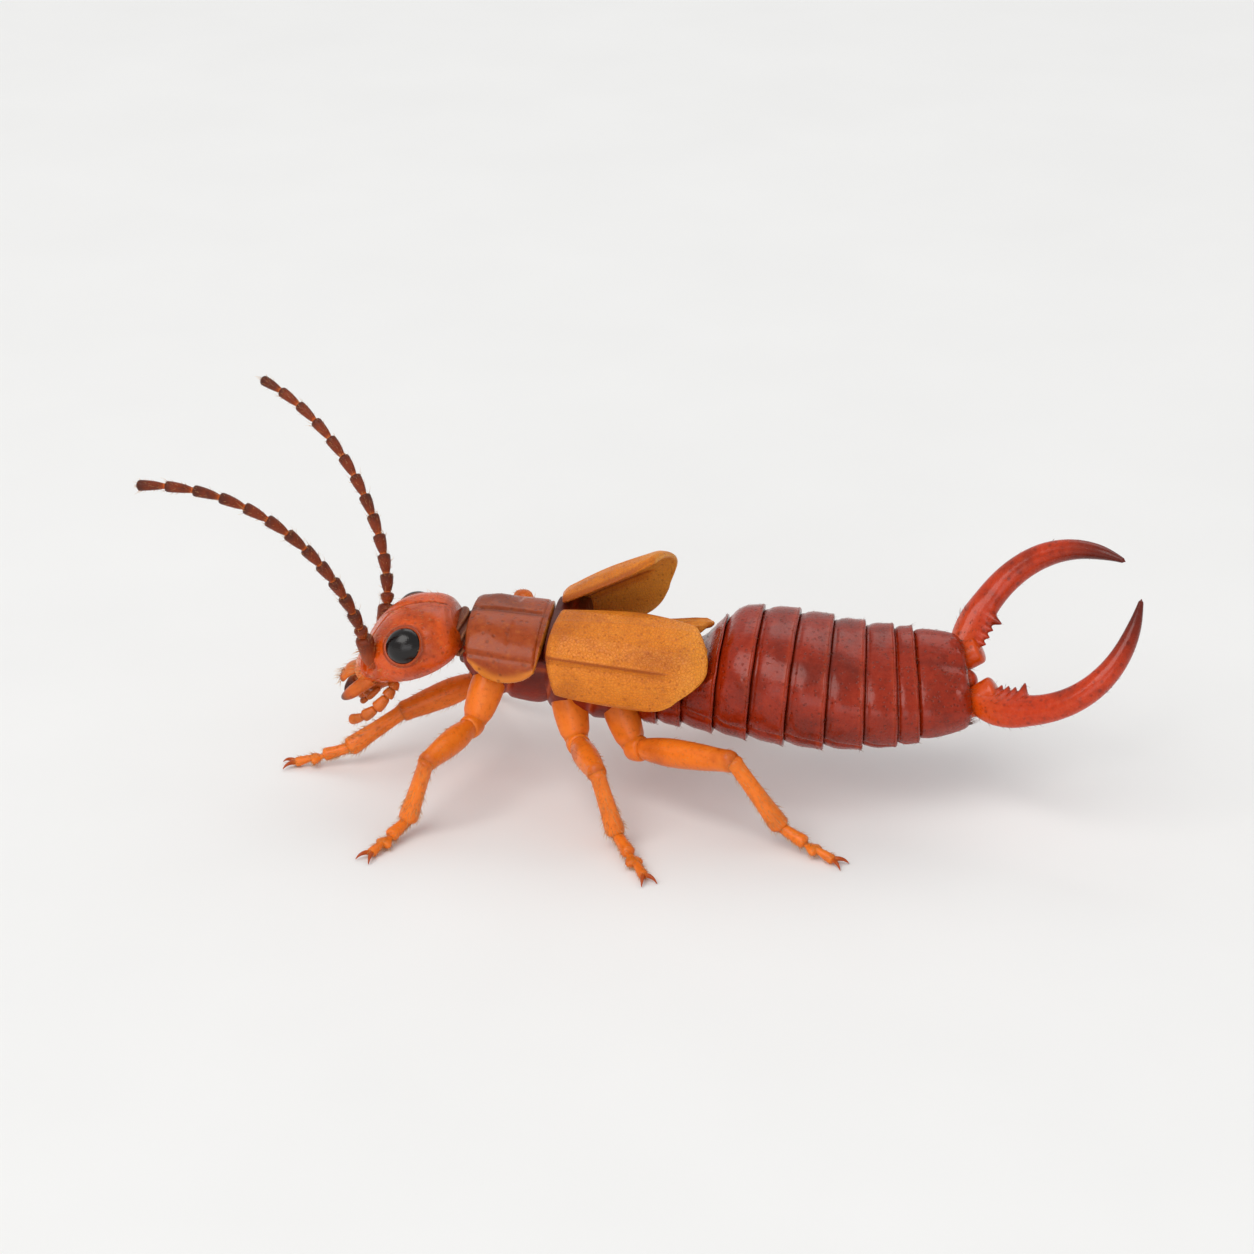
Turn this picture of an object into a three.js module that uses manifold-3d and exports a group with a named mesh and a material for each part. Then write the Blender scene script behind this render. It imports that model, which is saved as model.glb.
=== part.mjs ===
// A male common earwig at life size, standing on six feet with its forceps raised and open.
// Millimetres, +Z up, head towards -X, the animal's left side towards -Y, feet on z = 0.
import * as THREE from "three";
import { mergeVertices } from "three/addons/utils/BufferGeometryUtils.js";
import Module from "manifold-3d";

const wasm = await Module();
wasm.setup();

// Driving dimensions, in millimetres and degrees.
const GAP = 0.1; // air between two nodes that touch
const THIN = 0.5; // least thickness of plates, legs and feelers

const SHOULDER_HEIGHT = 3.86; // axis of the trunk above the floor at the front of the pronotum
const THORAX_LENGTH = 4.5;
const ABDOMEN_LENGTHS = [0.45, 0.6, 0.82, 0.86, 0.9, 0.9, 0.86, 0.76, 0.5, 1.3];
const ABDOMEN_LENGTH = ABDOMEN_LENGTHS.reduce((sum, length) => sum + length);
const TRUNK_LENGTH = THORAX_LENGTH + ABDOMEN_LENGTH;
const THORAX_PITCH = -4.4; // the back falls towards the tail
const TAIL_PITCH = 4.5; // and rises again at its end
const TAIL_YAW = 9; // the tail swings to the animal's right
const THORAX_ROLL = 5;
const TAIL_ROLL = 30; // the tail twists its right side up
const BEND_FROM = 7.6; // where along the trunk the tail begins to rise, turn and twist

const PRONOTUM = { start: 0.14, length: 2.0, thick: THIN, low: 1.3, wrap: 14, front: 0.24, rear: 0.24 };
const PRONOTUM_HALF_WIDTH = [[0, 1.34], [0.5, 1.46], [1, 1.5]];
const PRONOTUM_HIGH = [[0, 0.8], [0.4, 0.86], [1, 0.88]];
const TEGMEN = { length: 3.95, thick: THIN, low: 1.4, wrap: 20, front: 0.28, rear: 0.6, inner: 0.6 };
const TEGMEN_HALF_WIDTH = [[0, 1.66], [0.5, 1.78], [1, 1.84]];
const TEGMEN_HIGH = [[0, 1.3], [0.5, 1.46], [1, 1.42]];
const WING = {
  start: 3.3, length: 3.05, thick: 0.42, low: 1.3, wrap: -38, front: 0.42, rear: 0.7, inner: 0.8,
};
const WING_HALF_WIDTH = [[0, 1.16], [0.6, 1.24], [1, 1.5]];
const WING_HIGH = [[0, 0.66], [0.6, 0.76], [0.84, 0.86], [1, 1.3]];
const RAISED_TEGMEN = { length: 2.9, lift: 27, spread: 6, roll: -4 };

// The head's pose, and its root in the trunk: along from the shield's front and above the axis.
const HEAD = { length: 2.9, pitch: 29, yaw: 3, start: -0.1, rise: 0.38 };
const HEAD_HALF_WIDTH = [[0, 0.6], [0.07, 1.04], [0.3, 1.35], [0.55, 1.28], [0.78, 0.94], [1, 0.5]];
const HEAD_TOP = [[0, 0.44], [0.12, 0.76], [0.4, 1.0], [0.65, 0.88], [0.85, 0.54], [1, 0.22]];
const HEAD_BOTTOM = [[0, 0.42], [0.2, 0.68], [0.5, 0.7], [0.8, 0.48], [1, 0.22]];
const MANDIBLE = { radius: 0.24, path: [[0.9, 0.44, -0.21], [1.12, 0.42, -0.34], [1.25, 0.12, -0.45]] };
const PALP = {
  radius: 0.22,
  path: [[0.72, 0.52, -0.52], [0.9, 0.72, -0.8], [1.06, 0.78, -0.88], [1.24, 0.64, -0.88]],
};
const LABIUM = { from: 0.62, to: 1.04, height: -0.56, halfWidth: 0.28, thick: 0.2 };
const LABRUM = { halfWidth: 0.36, length: 0.48, thick: 0.24 };
const EYE = { along: 0.41, side: 1.08, height: 0.4, length: 0.49, tall: 0.45, deep: 0.37 };

const ANTENNA_JOINTS = 14;
const ANTENNA_RADIUS = THIN / 2;
const ANTENNA_ROOT = { along: 0.8, side: 0.76, height: 0.22 };
const SCAPE_SHARE = 0.11; // of the feeler's length
const BROW = { side: 0.62, height: 0.04, sizes: [0.34, 0.36, 0.32] }; // the swelling at each feeler's root
const ANTENNA_LEFT = [[-0.15, -0.75, 2.54], [-1.93, -1.2, 5.32], [-5.22, -1.45, 5.13]];
const ANTENNA_RIGHT = [[0.6, 0.8, 1.75], [-0.95, 2.0, 4.8], [-3.58, 3.4, 5.39]];

const ABDOMEN_HALF_WIDTH = [
  [0, 1.12], [0.1, 1.16], [0.165, 1.26], [0.3, 1.66], [0.5, 1.84], [0.75, 1.64], [1, 1.22],
];
const ABDOMEN_TOP = [
  [0, 0.16], [0.12, 0.22], [0.17, 0.34], [0.215, 0.68], [0.27, 1.22],
  [0.35, 1.48], [0.5, 1.42], [0.7, 1.08], [1, 0.64],
];
const ABDOMEN_BOTTOM = [[0, 1.6], [0.15, 1.56], [0.3, 1.48], [0.6, 1.34], [1, 0.82]];
const TERGITE_LIP = 0.05; // how far the rear rim of each ring stands out
const RIM = 0.2; // thickness of that rim
const CUP = 0.34; // depth of the cup behind it, which takes the next ring's collar
const COLLAR = 0.16;

const THORAX_HALF_WIDTH = [[0, 0.7], [0.12, 0.84], [0.46, 0.9], [0.54, 1.08], [0.7, 1.14], [1, 1.12]];
const THORAX_TOP = [[0, 0.14], [0.15, 0.2], [0.5, 0.2], [1, 0.18]];
const THORAX_BOTTOM = [[0, 0.65], [0.15, 1.25], [0.6, 1.6], [1, 1.6]];
const PROTHORAX_START = 0.12;
const WAIST = 2.22; // between prothorax and the pair of rings that carry the wings

const FORCEPS = { root: 0.62, rise: 28, turn: 12, halfWidth: 0.36, thick: 0.31, bend: 0.28 };
// The curve of each arm, outward and along from its root.
const FORCEPS_PATH = [[-0.08, 0], [1.0, 0.59], [2.57, 3.05], [-0.05, 4.79]];
const FORCEPS_WIDTH = [[0, 0.3], [0.14, 0.42], [0.32, 0.37], [0.6, 0.3], [0.85, 0.19], [1, 0.05]];
const FORCEPS_TEETH = 5;
const TOOTH = { length: 0.54, lastLength: 0.68, radius: 0.22, form: [[0, 1], [0.6, 0.85], [1, 0.3]] };

// The coxa's root in the thorax, and how far it reaches outward, downward and towards its foot.
const COXA = { length: 1.2, radius: 0.42, side: 0.62, height: 0.62, out: 0.55, down: 0.8, sweep: 1.1 };
const LEG_SIZES = {
  front: { station: 0.8, femur: 2.2, tibia: 1.6, tarsus: 1.45, thick: 0.31 },
  middle: { station: 2.75, femur: 2.3, tibia: 1.65, tarsus: 1.8, thick: 0.31 },
  hind: { station: 4.0, femur: 3.2, tibia: 2.05, tarsus: 1.6, thick: 0.34 },
};
// Each foot's place from its coxa, tailward and outward, how far the knee leans out from the vertical
// and how high the ankle stands. The far middle leg is the longest, with its knee above the back.
const STANCE = [
  { name: "leg_front_left", pair: "front", side: -1, back: -2.26, out: 4.06, lean: 34, ankle: 0.42 },
  { name: "leg_middle_left", pair: "middle", side: -1, back: 2.49, out: 4.24, lean: 34, ankle: 0.38 },
  { name: "leg_hind_left", pair: "hind", side: -1, back: 5.64, out: 2.85, lean: 20, ankle: 0.55 },
  { name: "leg_front_right", pair: "front", side: 1, back: -5.1, out: -1.0, lean: 30, ankle: 0.5 },
  {
    name: "leg_middle_right", pair: "middle", side: 1, back: -2.9, out: 3.65, lean: -5, ankle: 1.1,
    femur: 2.75, tibia: 2.8,
  },
  { name: "leg_hind_right", pair: "hind", side: 1, back: 4.2, out: 3.9, lean: 50, ankle: 0.5 },
];
const TOE_HEIGHT = 0.09; // low enough that the soles are trimmed flat by the floor
const KNEE_REACH = 0.12; // how far the femur's end passes the knee's axis
const CLAW = { length: 0.46, drop: 0.07, radius: 0.13, spread: 27 };
// Half sizes at shares of each length, as shares of the limb's own half size.
const COXA_FORM = [[-0.35, 0.7], [-0.2, 0.95], [0.35, 1], [0.8, 0.8], [1, 0.66], [1.1, 0.45]];
const FEMUR_FORM = [[-0.06, 0.6], [0.02, 0.82], [0.3, 1.12], [0.65, 1.02], [0.96, 0.84], [1, 0.55]];
const TIBIA_FORM = [[-0.05, 0.7], [0.02, 0.96], [0.5, 0.96], [0.96, 1.06], [1.04, 0.7]];
const TARSUS_FORM = [
  [-0.05, 0.7], [0.03, 0.96], [0.42, 0.98], [0.48, 0.62], [0.53, 0.8], [0.66, 1.24], [0.71, 0.66],
  [0.76, 0.85], [0.93, 0.96], [1.02, 0.6],
];
const CLAW_FORM = [[0, 1], [0.35, 0.9], [0.7, 0.62], [1, 0.25]];
const PALP_FORM = [
  [0, 1], [0.25, 1], [0.33, 0.78], [0.4, 1], [0.62, 1], [0.68, 0.78], [0.76, 0.95], [1, 0.5],
];
const MANDIBLE_FORM = [[0, 1], [0.3, 1.04], [0.6, 0.9], [0.85, 0.6], [1, 0.3]];
const BEAD_FORM = [[0.06, 0.78], [0.6, 1]];

const chitin = (name, color, roughness) =>
  Object.assign(new THREE.MeshStandardMaterial({ color, roughness, metalness: 0 }), { name });
const MATERIALS = {
  head: chitin("head", 0xa8481f, 0.3),
  eye: chitin("eye", 0x0c0908, 0.15),
  feeler: chitin("feeler", 0x7a3a1c, 0.4),
  mouth: chitin("mouth", 0xb4602a, 0.35),
  pronotum: chitin("pronotum", 0x8c4a1c, 0.35),
  thorax: chitin("thorax", 0x8a3a1a, 0.4),
  tegmen: chitin("tegmen", 0xcf8636, 0.35),
  wing: chitin("wing", 0xd79a4c, 0.4),
  leg: chitin("leg", 0xe08a3c, 0.35),
  abdomen: chitin("abdomen", 0x6e1d0f, 0.3),
  forceps: chitin("forceps", 0xa8361a, 0.28),
};

const radians = THREE.MathUtils.degToRad;
const mix = THREE.MathUtils.lerp;
const vector = (x, y, z) => new THREE.Vector3(x, y, z);
const range = (count) => Array.from({ length: count }, (_, i) => i);

// Smooth value at t from a short table of [t, value] rows.
function along(table, t) {
  const last = table.length - 1;
  let i = 0;
  while (i < last - 1 && t > table[i + 1][0]) i++;
  const slope = (k) => {
    const a = table[Math.max(0, k - 1)];
    const b = table[Math.min(last, k + 1)];
    return (b[1] - a[1]) / (b[0] - a[0]);
  };
  const [t0, v0] = table[i];
  const [t1, v1] = table[i + 1];
  const span = t1 - t0;
  const u = THREE.MathUtils.clamp((t - t0) / span, 0, 1);
  const uu = u * u;
  const uuu = uu * u;
  return (2 * uuu - 3 * uu + 1) * v0 + (uuu - 2 * uu + u) * span * slope(i)
    + (3 * uu - 2 * uuu) * v1 + (uuu - uu) * span * slope(i + 1);
}

// The trunk's axis, stepped from the front of the pronotum to the end of the abdomen.
const SPINE_STEP = 0.05;
const bendAt = (s) => THREE.MathUtils.smoothstep(s, BEND_FROM, TRUNK_LENGTH);

function directionAt(s) {
  const pitch = radians(mix(THORAX_PITCH, TAIL_PITCH, bendAt(s)));
  const yaw = radians(TAIL_YAW * bendAt(s));
  return vector(Math.cos(pitch) * Math.cos(yaw), Math.cos(pitch) * Math.sin(yaw), Math.sin(pitch));
}

const SPINE = [vector(0, 0, SHOULDER_HEIGHT)];
for (let i = 0; i * SPINE_STEP < TRUNK_LENGTH; i++)
  SPINE.push(SPINE[i].clone().addScaledVector(directionAt((i + 0.5) * SPINE_STEP), SPINE_STEP));

function spinePoint(s) {
  if (s < 0) return SPINE[0].clone().addScaledVector(directionAt(0), s);
  const i = Math.min(Math.floor(s / SPINE_STEP), SPINE.length - 2);
  return SPINE[i].clone().lerp(SPINE[i + 1], s / SPINE_STEP - i);
}

// The trunk's own axes at a station: back towards the tail, side towards the animal's right, and up.
function trunkFrame(s) {
  const back = directionAt(s);
  const level = vector(-back.y, back.x, 0).normalize();
  const roll = radians(mix(THORAX_ROLL, TAIL_ROLL, bendAt(s)));
  const side = level.clone().applyAxisAngle(back, roll);
  return { origin: spinePoint(s), back, side, up: back.clone().cross(side) };
}

function inTrunk(s, y, z) {
  const f = trunkFrame(s);
  return f.origin.addScaledVector(f.side, y).addScaledVector(f.up, z);
}

// A point of a flattened round section: angle 0 is the right side and 90 degrees is up.
const SECTION_POWER = 2.35;
function sectionPoint(angle, halfWidth, high, low) {
  const bulge = (v) => Math.sign(v) * Math.abs(v) ** (2 / SECTION_POWER);
  return [halfWidth * bulge(Math.cos(angle)), (Math.sin(angle) > 0 ? high : low) * bulge(Math.sin(angle))];
}

// Solids from rings of points, and joins and cuts of them.
function toBody(points, index) {
  const positions = new Float32Array(points.flatMap((p) => [p.x, p.y, p.z]));
  const geometry = new THREE.BufferGeometry();
  geometry.setAttribute("position", new THREE.BufferAttribute(positions, 3));
  geometry.setIndex(index);
  const merged = mergeVertices(geometry, 1e-5);
  const build = (triVerts) =>
    new wasm.Manifold(
      new wasm.Mesh({ numProp: 3, vertProperties: merged.attributes.position.array, triVerts }),
    );
  const made = build(new Uint32Array(merged.index.array));
  return made.volume() > 0 ? made : build(new Uint32Array(merged.index.array).reverse());
}

function skin(rings) {
  const sides = rings[0].length;
  const points = rings.flat();
  const index = [];
  for (let r = 0; r < rings.length - 1; r++)
    for (let k = 0; k < sides; k++) {
      const a = r * sides + k;
      const b = r * sides + ((k + 1) % sides);
      index.push(a, a + sides, b, b, a + sides, b + sides);
    }
  const cap = (start, turn) => {
    const centre = vector(0, 0, 0);
    for (let k = 0; k < sides; k++) centre.addScaledVector(points[start + k], 1 / sides);
    points.push(centre);
    for (let k = 0; k < sides; k++) {
      const pair = [start + k, start + ((k + 1) % sides)];
      index.push(points.length - 1, pair[turn], pair[1 - turn]);
    }
  };
  cap(0, 0);
  cap((rings.length - 1) * sides, 1);
  return toBody(points, index);
}

// A curved plate between two faces, each given at u across and v along, from -1 to 1.
function plate(outer, inner, across, lengthwise) {
  const row = across + 1;
  const face = (at) => range(lengthwise + 1).flatMap((j) =>
    range(row).map((i) => at((2 * i) / across - 1, (2 * j) / lengthwise - 1)));
  const points = [...face(outer), ...face(inner)];
  const under = points.length / 2;
  const index = [];
  for (let j = 0; j < lengthwise; j++)
    for (let i = 0; i < across; i++) {
      const a = j * row + i;
      const [b, c, d] = [a + 1, a + row, a + row + 1];
      index.push(a, b, c, b, d, c);
      index.push(under + a, under + c, under + b, under + b, under + c, under + d);
    }
  const wall = (a, b) => index.push(a, under + a, b, b, under + a, under + b);
  for (let i = 0; i < across; i++) {
    wall(i, i + 1);
    wall(lengthwise * row + i + 1, lengthwise * row + i);
  }
  for (let j = 0; j < lengthwise; j++) {
    wall((j + 1) * row, j * row);
    wall(j * row + across, (j + 1) * row + across);
  }
  return toBody(points, index);
}

const union = (bodies) => wasm.Manifold.union(bodies);
const largest = (body) => body.decompose().reduce((a, b) => (b.volume() > a.volume() ? b : a));
const cut = (body, tools) => largest(body.subtract(union(tools)));

// A square of u and v drawn in to a plate's outline, with round corners at its front and rear and less
// round ones on the side of negative u.
function roundOff(u, v, front, rear = front, inner = 1) {
  const corner = (v > 0 ? rear : front) * (u < 0 ? inner : 1);
  return [u * Math.sqrt(1 - corner * v * v), v * Math.sqrt(1 - corner * u * u)];
}

// A rod through a line of points, with a half size across and over at each.
function rod(points, across, over, upward, sides) {
  const last = points.length - 1;
  return skin(points.map((centre, i) => {
    const ahead = points[Math.min(last, i + 1)].clone().sub(points[Math.max(0, i - 1)]).normalize();
    const sideways = ahead.clone().cross(upward).normalize();
    const above = sideways.clone().cross(ahead);
    return range(sides).map((k) => {
      const angle = (2 * Math.PI * (k + 0.5)) / sides;
      return centre.clone()
        .addScaledVector(sideways, across[i] * Math.cos(angle))
        .addScaledVector(above, over[i] * Math.sin(angle));
    });
  }));
}

// A rod between two points whose half size follows a table of [share of the length, share of the size].
function shaft(from, to, form, size, sides = 7, flat = 1) {
  const points = form.map(([t]) => from.clone().lerp(to, t));
  const sizes = form.map(([, share]) => size * share);
  return rod(points, sizes, sizes.map((value) => value * flat), vector(0, 0, 1), sides);
}

// A rod along a curve, shaped in the same way.
function stem(curve, form, size, upward, sides = 6, grow = 0) {
  const sizes = form.map(([, share]) => size * share + grow);
  return rod(form.map(([t]) => curve.getPoint(t)), sizes, sizes, upward, sides);
}

// A blunt rod between two points, with round ends and half sizes at a share of its length.
function limb(from, to, upward, wide, thick, sides, steps) {
  const shares = range(steps + 1).map((i) => (1 - Math.cos((Math.PI * (i + 0.35)) / (steps + 0.7))) / 2);
  const round = shares.map((t) => Math.sqrt(1 - Math.abs(2 * t - 1) ** 5));
  const points = shares.map((t) => from.clone().lerp(to, t));
  return rod(points, round.map((r) => r * wide), round.map((r) => r * thick), upward, sides);
}

// An egg shape with half sizes along its own three directions.
function egg(centre, directions, sizes, columns, rows) {
  const geometry = new THREE.SphereGeometry(1, columns, rows);
  const [a, b, c] = directions.map((d, i) => d.clone().multiplyScalar(sizes[i]));
  geometry.applyMatrix4(new THREE.Matrix4().makeBasis(a, b, c).setPosition(centre));
  geometry.deleteAttribute("normal");
  geometry.deleteAttribute("uv");
  const merged = mergeVertices(geometry, 1e-5);
  const points = range(merged.attributes.position.count).map((i) =>
    vector(0, 0, 0).fromBufferAttribute(merged.attributes.position, i));
  const index = [...merged.index.array];
  const solidFaces = [];
  for (let i = 0; i < index.length; i += 3)
    if (index[i] !== index[i + 1] && index[i + 1] !== index[i + 2] && index[i] !== index[i + 2])
      solidFaces.push(index[i], index[i + 1], index[i + 2]);
  return toBody(points, solidFaces);
}

// The head's own frame, from the neck forward.
const NECK = inTrunk(HEAD.start, 0, HEAD.rise);
function headFrame() {
  const pitch = radians(HEAD.pitch);
  const yaw = radians(HEAD.yaw);
  const ahead = vector(-Math.cos(pitch) * Math.cos(yaw), -Math.sin(yaw), -Math.sin(pitch)).normalize();
  const side = vector(0, 0, 1).cross(ahead).negate().normalize();
  return { ahead, side, up: side.clone().cross(ahead) };
}
const HEAD_AXES = headFrame();

function inHead(t, y, z) {
  return NECK.clone()
    .addScaledVector(HEAD_AXES.ahead, t * HEAD.length)
    .addScaledVector(HEAD_AXES.side, y)
    .addScaledVector(HEAD_AXES.up, z);
}

const eyeCentre = (side) => inHead(EYE.along, side * EYE.side, EYE.height);
function eye(side, grow = 0) {
  const outward = HEAD_AXES.side.clone().multiplyScalar(side).addScaledVector(HEAD_AXES.up, 0.25).normalize();
  const over = HEAD_AXES.ahead.clone().cross(outward).normalize();
  const ahead = outward.clone().cross(over);
  const sizes = [EYE.tall, EYE.deep, EYE.length].map((size) => size + grow);
  return egg(eyeCentre(side), [over, outward, ahead], sizes, 12, 8);
}

const NECK_RADIUS = 0.46;
const antennaRoot = (side) => inHead(ANTENNA_ROOT.along, side * ANTENNA_ROOT.side, ANTENNA_ROOT.height);
function antennaBall(side, grow = 0) {
  const axes = [HEAD_AXES.side, HEAD_AXES.up, HEAD_AXES.ahead];
  return egg(antennaRoot(side), axes, Array(3).fill(ANTENNA_RADIUS + grow), 8, 6);
}

function neck(grow = 0) {
  const radius = NECK_RADIUS + grow;
  return limb(inHead(0.1, 0, -0.05), inTrunk(0.3, 0, -0.2), vector(0, 0, 1), radius, radius, 12, 4);
}

// Mouthparts, each a rod along a curve given in the head's frame.
const inHeadCurve = (side, places) =>
  new THREE.CatmullRomCurve3(places.map(([t, y, z]) => inHead(t, side * y, z)));

const mandible = (side, grow = 0) =>
  stem(inHeadCurve(side, MANDIBLE.path), MANDIBLE_FORM, MANDIBLE.radius, HEAD_AXES.up, 7, grow);

const palp = (side, grow = 0) =>
  stem(inHeadCurve(side, PALP.path), PALP_FORM, PALP.radius, HEAD_AXES.up, 6, grow);

function labium(grow = 0) {
  return limb(inHead(LABIUM.from, 0, LABIUM.height), inHead(LABIUM.to, 0, LABIUM.height + 0.06), HEAD_AXES.up,
    LABIUM.halfWidth + grow, LABIUM.thick + grow, 10, 4);
}

function labrum() {
  const at = (lift) => (u, v) => {
    const [x, y] = roundOff(u, v, 0.3);
    const forward = 0.5 * (1 + y);
    const t = 1 + (GAP + LABRUM.length * forward) / HEAD.length;
    return inHead(t, LABRUM.halfWidth * x, 0.22 - 0.1 * forward - 0.06 * x * x - lift);
  };
  return plate(at(0), at(LABRUM.thick), 6, 3);
}

function headCapsule() {
  const sides = 22;
  const steps = 11;
  const rings = range(steps + 1).map((i) => {
    const t = (1 - Math.cos((Math.PI * (i + 0.3)) / (steps + 0.6))) / 2;
    const sizes = [HEAD_HALF_WIDTH, HEAD_TOP, HEAD_BOTTOM].map((table) => along(table, t));
    return range(sides).map((k) => inHead(t, ...sectionPoint((2 * Math.PI * (k + 0.5)) / sides, ...sizes)));
  });
  const axes = [HEAD_AXES.ahead, HEAD_AXES.side, HEAD_AXES.up];
  const brows = [-1, 1].map((side) =>
    egg(inHead(ANTENNA_ROOT.along - 0.04, side * BROW.side, BROW.height), axes, BROW.sizes, 10, 6));
  const tools = [-1, 1].flatMap((side) => [
    eye(side, GAP / 2), antennaBall(side, GAP), scape(side), mandible(side, GAP), palp(side, GAP),
  ]);
  return cut(union([skin(rings), ...brows]), [...tools, neck(GAP), labium(GAP)]);
}

// Feelers: a stout first joint, a short second, then beads that grow longer and thinner.
function antennaLengths() {
  const beads = range(ANTENNA_JOINTS).slice(2).map((i) => mix(1.3, 1.95, i / ANTENNA_JOINTS));
  const shares = [2.6, 0.8, ...beads];
  const total = shares.reduce((sum, share) => sum + share);
  let at = 0;
  return [0, ...shares.map((share) => (at += share / total))];
}

function antennaCurve(side) {
  const root = antennaRoot(side);
  const offsets = side < 0 ? ANTENNA_LEFT : ANTENNA_RIGHT;
  return new THREE.CubicBezierCurve3(root, ...offsets.map(([x, y, z]) => root.clone().add(vector(x, y, z))));
}

const scape = (side) => limb(antennaCurve(side).getPointAt(0), antennaCurve(side).getPointAt(SCAPE_SHARE),
  HEAD_AXES.ahead, ANTENNA_RADIUS + GAP, ANTENNA_RADIUS + GAP, 8, 4);

function antenna(side) {
  const curve = antennaCurve(side);
  const stops = antennaLengths();
  const stations = range(ANTENNA_JOINTS).flatMap((i) =>
    BEAD_FORM.map(([share, swell]) => [mix(stops[i], stops[i + 1], share), swell]));
  stations.push([1, 0.6]);
  const taper = (t) => mix(1, 0.7, THREE.MathUtils.smoothstep(t, 0.8, 1));
  const sizes = stations.map(([t, swell]) => ANTENNA_RADIUS * swell * taper(t));
  const body = rod(stations.map(([t]) => curve.getPointAt(t)), sizes, sizes, vector(0, 1, 0), 7);
  return largest(union([body, antennaBall(side)]));
}

// Thorax: two rings under the shield and the wings, with sockets for the legs.
const THORAX_TABLES = [THORAX_HALF_WIDTH, THORAX_TOP, THORAX_BOTTOM];
const thoraxSizes = (s) => THORAX_TABLES.map((table) => along(table, s / THORAX_LENGTH));

function thoraxRing(from, to, steps) {
  const sides = 16;
  return skin(range(steps + 1).map((i) => {
    const s = mix(from, to, i / steps);
    const edge = 1 - 0.1 * Math.abs((2 * i) / steps - 1) ** 6;
    const sizes = thoraxSizes(s).map((size) => size * edge);
    return range(sides).map((k) => inTrunk(s, ...sectionPoint((2 * Math.PI * (k + 0.5)) / sides, ...sizes)));
  }));
}

// A point of a plate that follows the trunk's section from one angle to another, at u across and v along.
function saddle(spec, widths, heights, from, to, u, v, stand, side = 1, apart = 0) {
  const [x, y] = roundOff(u, v, spec.front, spec.rear, spec.inner);
  const share = 0.5 + 0.5 * y;
  const angle = radians(mix(from, to, 0.5 + 0.5 * x));
  const lift = stand(x, y);
  const sizes = [along(widths, share), along(heights, share), spec.low].map((size) => size + lift);
  const [wide, high] = sectionPoint(angle, ...sizes);
  return inTrunk(spec.start + spec.length * share, side * (wide + apart), high);
}

// The shield over the prothorax: a saddle with round corners and a turned-up rim.
function pronotum() {
  const rim = (x) => 0.06 * Math.max(0, Math.abs(x) - 0.75) / 0.25;
  const at = (lift) => (u, v) => saddle(PRONOTUM, PRONOTUM_HALF_WIDTH, PRONOTUM_HIGH,
    180 + PRONOTUM.wrap, -PRONOTUM.wrap, u, v, (x) => rim(x) - lift);
  return plate(at(0), at(PRONOTUM.thick), 16, 7);
}

// A wing cover or folded wing lies on the trunk between the midline and its side.
function wingPlate(side, spec, widths, heights, ridges) {
  const at = (lift) => (u, v) =>
    saddle(spec, widths, heights, 90, -spec.wrap, u, v, (x, y) => ridges(x, y) - lift, side, GAP / 2);
  return plate(at(0), at(spec.thick), 12, 5);
}

const RIDGE = 0.07;
const nearLine = (x, centre, width) => Math.max(0, 1 - Math.abs(x - centre) / width);
const tegmenRidge = (x, y) => (y < 0.55 ? RIDGE * nearLine(x, 0.167, 0.17) : 0);
const wingRidges = (x) => RIDGE * 0.7 * Math.max(nearLine(x, -0.33, 0.17), nearLine(x, 0.33, 0.17));
const TEGMEN_START = PRONOTUM.start + PRONOTUM.length + GAP;

const tegmen = (side, length) =>
  wingPlate(side, { ...TEGMEN, start: TEGMEN_START, length }, TEGMEN_HALF_WIDTH, TEGMEN_HIGH, tegmenRidge);
const foldedWing = (side) => wingPlate(side, WING, WING_HALF_WIDTH, WING_HIGH, wingRidges);

// The right wing cover is raised and turned out about its shoulder.
function raisedTegmen() {
  const hinge = inTrunk(TEGMEN_START + 0.2, 0.6, 1.1);
  const f = trunkFrame(TEGMEN_START);
  const turn = new THREE.Quaternion()
    .setFromAxisAngle(f.up, radians(RAISED_TEGMEN.spread))
    .multiply(new THREE.Quaternion().setFromAxisAngle(f.side, -radians(RAISED_TEGMEN.lift)))
    .multiply(new THREE.Quaternion().setFromAxisAngle(f.back, radians(RAISED_TEGMEN.roll)));
  const matrix = new THREE.Matrix4().makeTranslation(hinge.x, hinge.y, hinge.z)
    .multiply(new THREE.Matrix4().makeRotationFromQuaternion(turn))
    .multiply(new THREE.Matrix4().makeTranslation(-hinge.x, -hinge.y, -hinge.z));
  return tegmen(1, RAISED_TEGMEN.length).transform(matrix.toArray());
}

// Abdomen: ten rings, each with a collar inside the cup of the one before it.
const ABDOMEN_TABLES = [ABDOMEN_HALF_WIDTH, ABDOMEN_TOP, ABDOMEN_BOTTOM];
const abdomenSizes = (s) => ABDOMEN_TABLES.map((table) => along(table, (s - THORAX_LENGTH) / ABDOMEN_LENGTH));

function abdomenRing(s, inset) {
  const sides = 20;
  const sizes = abdomenSizes(s).map((size) => size - inset);
  return range(sides).map((k) => inTrunk(s, ...sectionPoint((2 * Math.PI * (k + 0.5)) / sides, ...sizes)));
}

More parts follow.
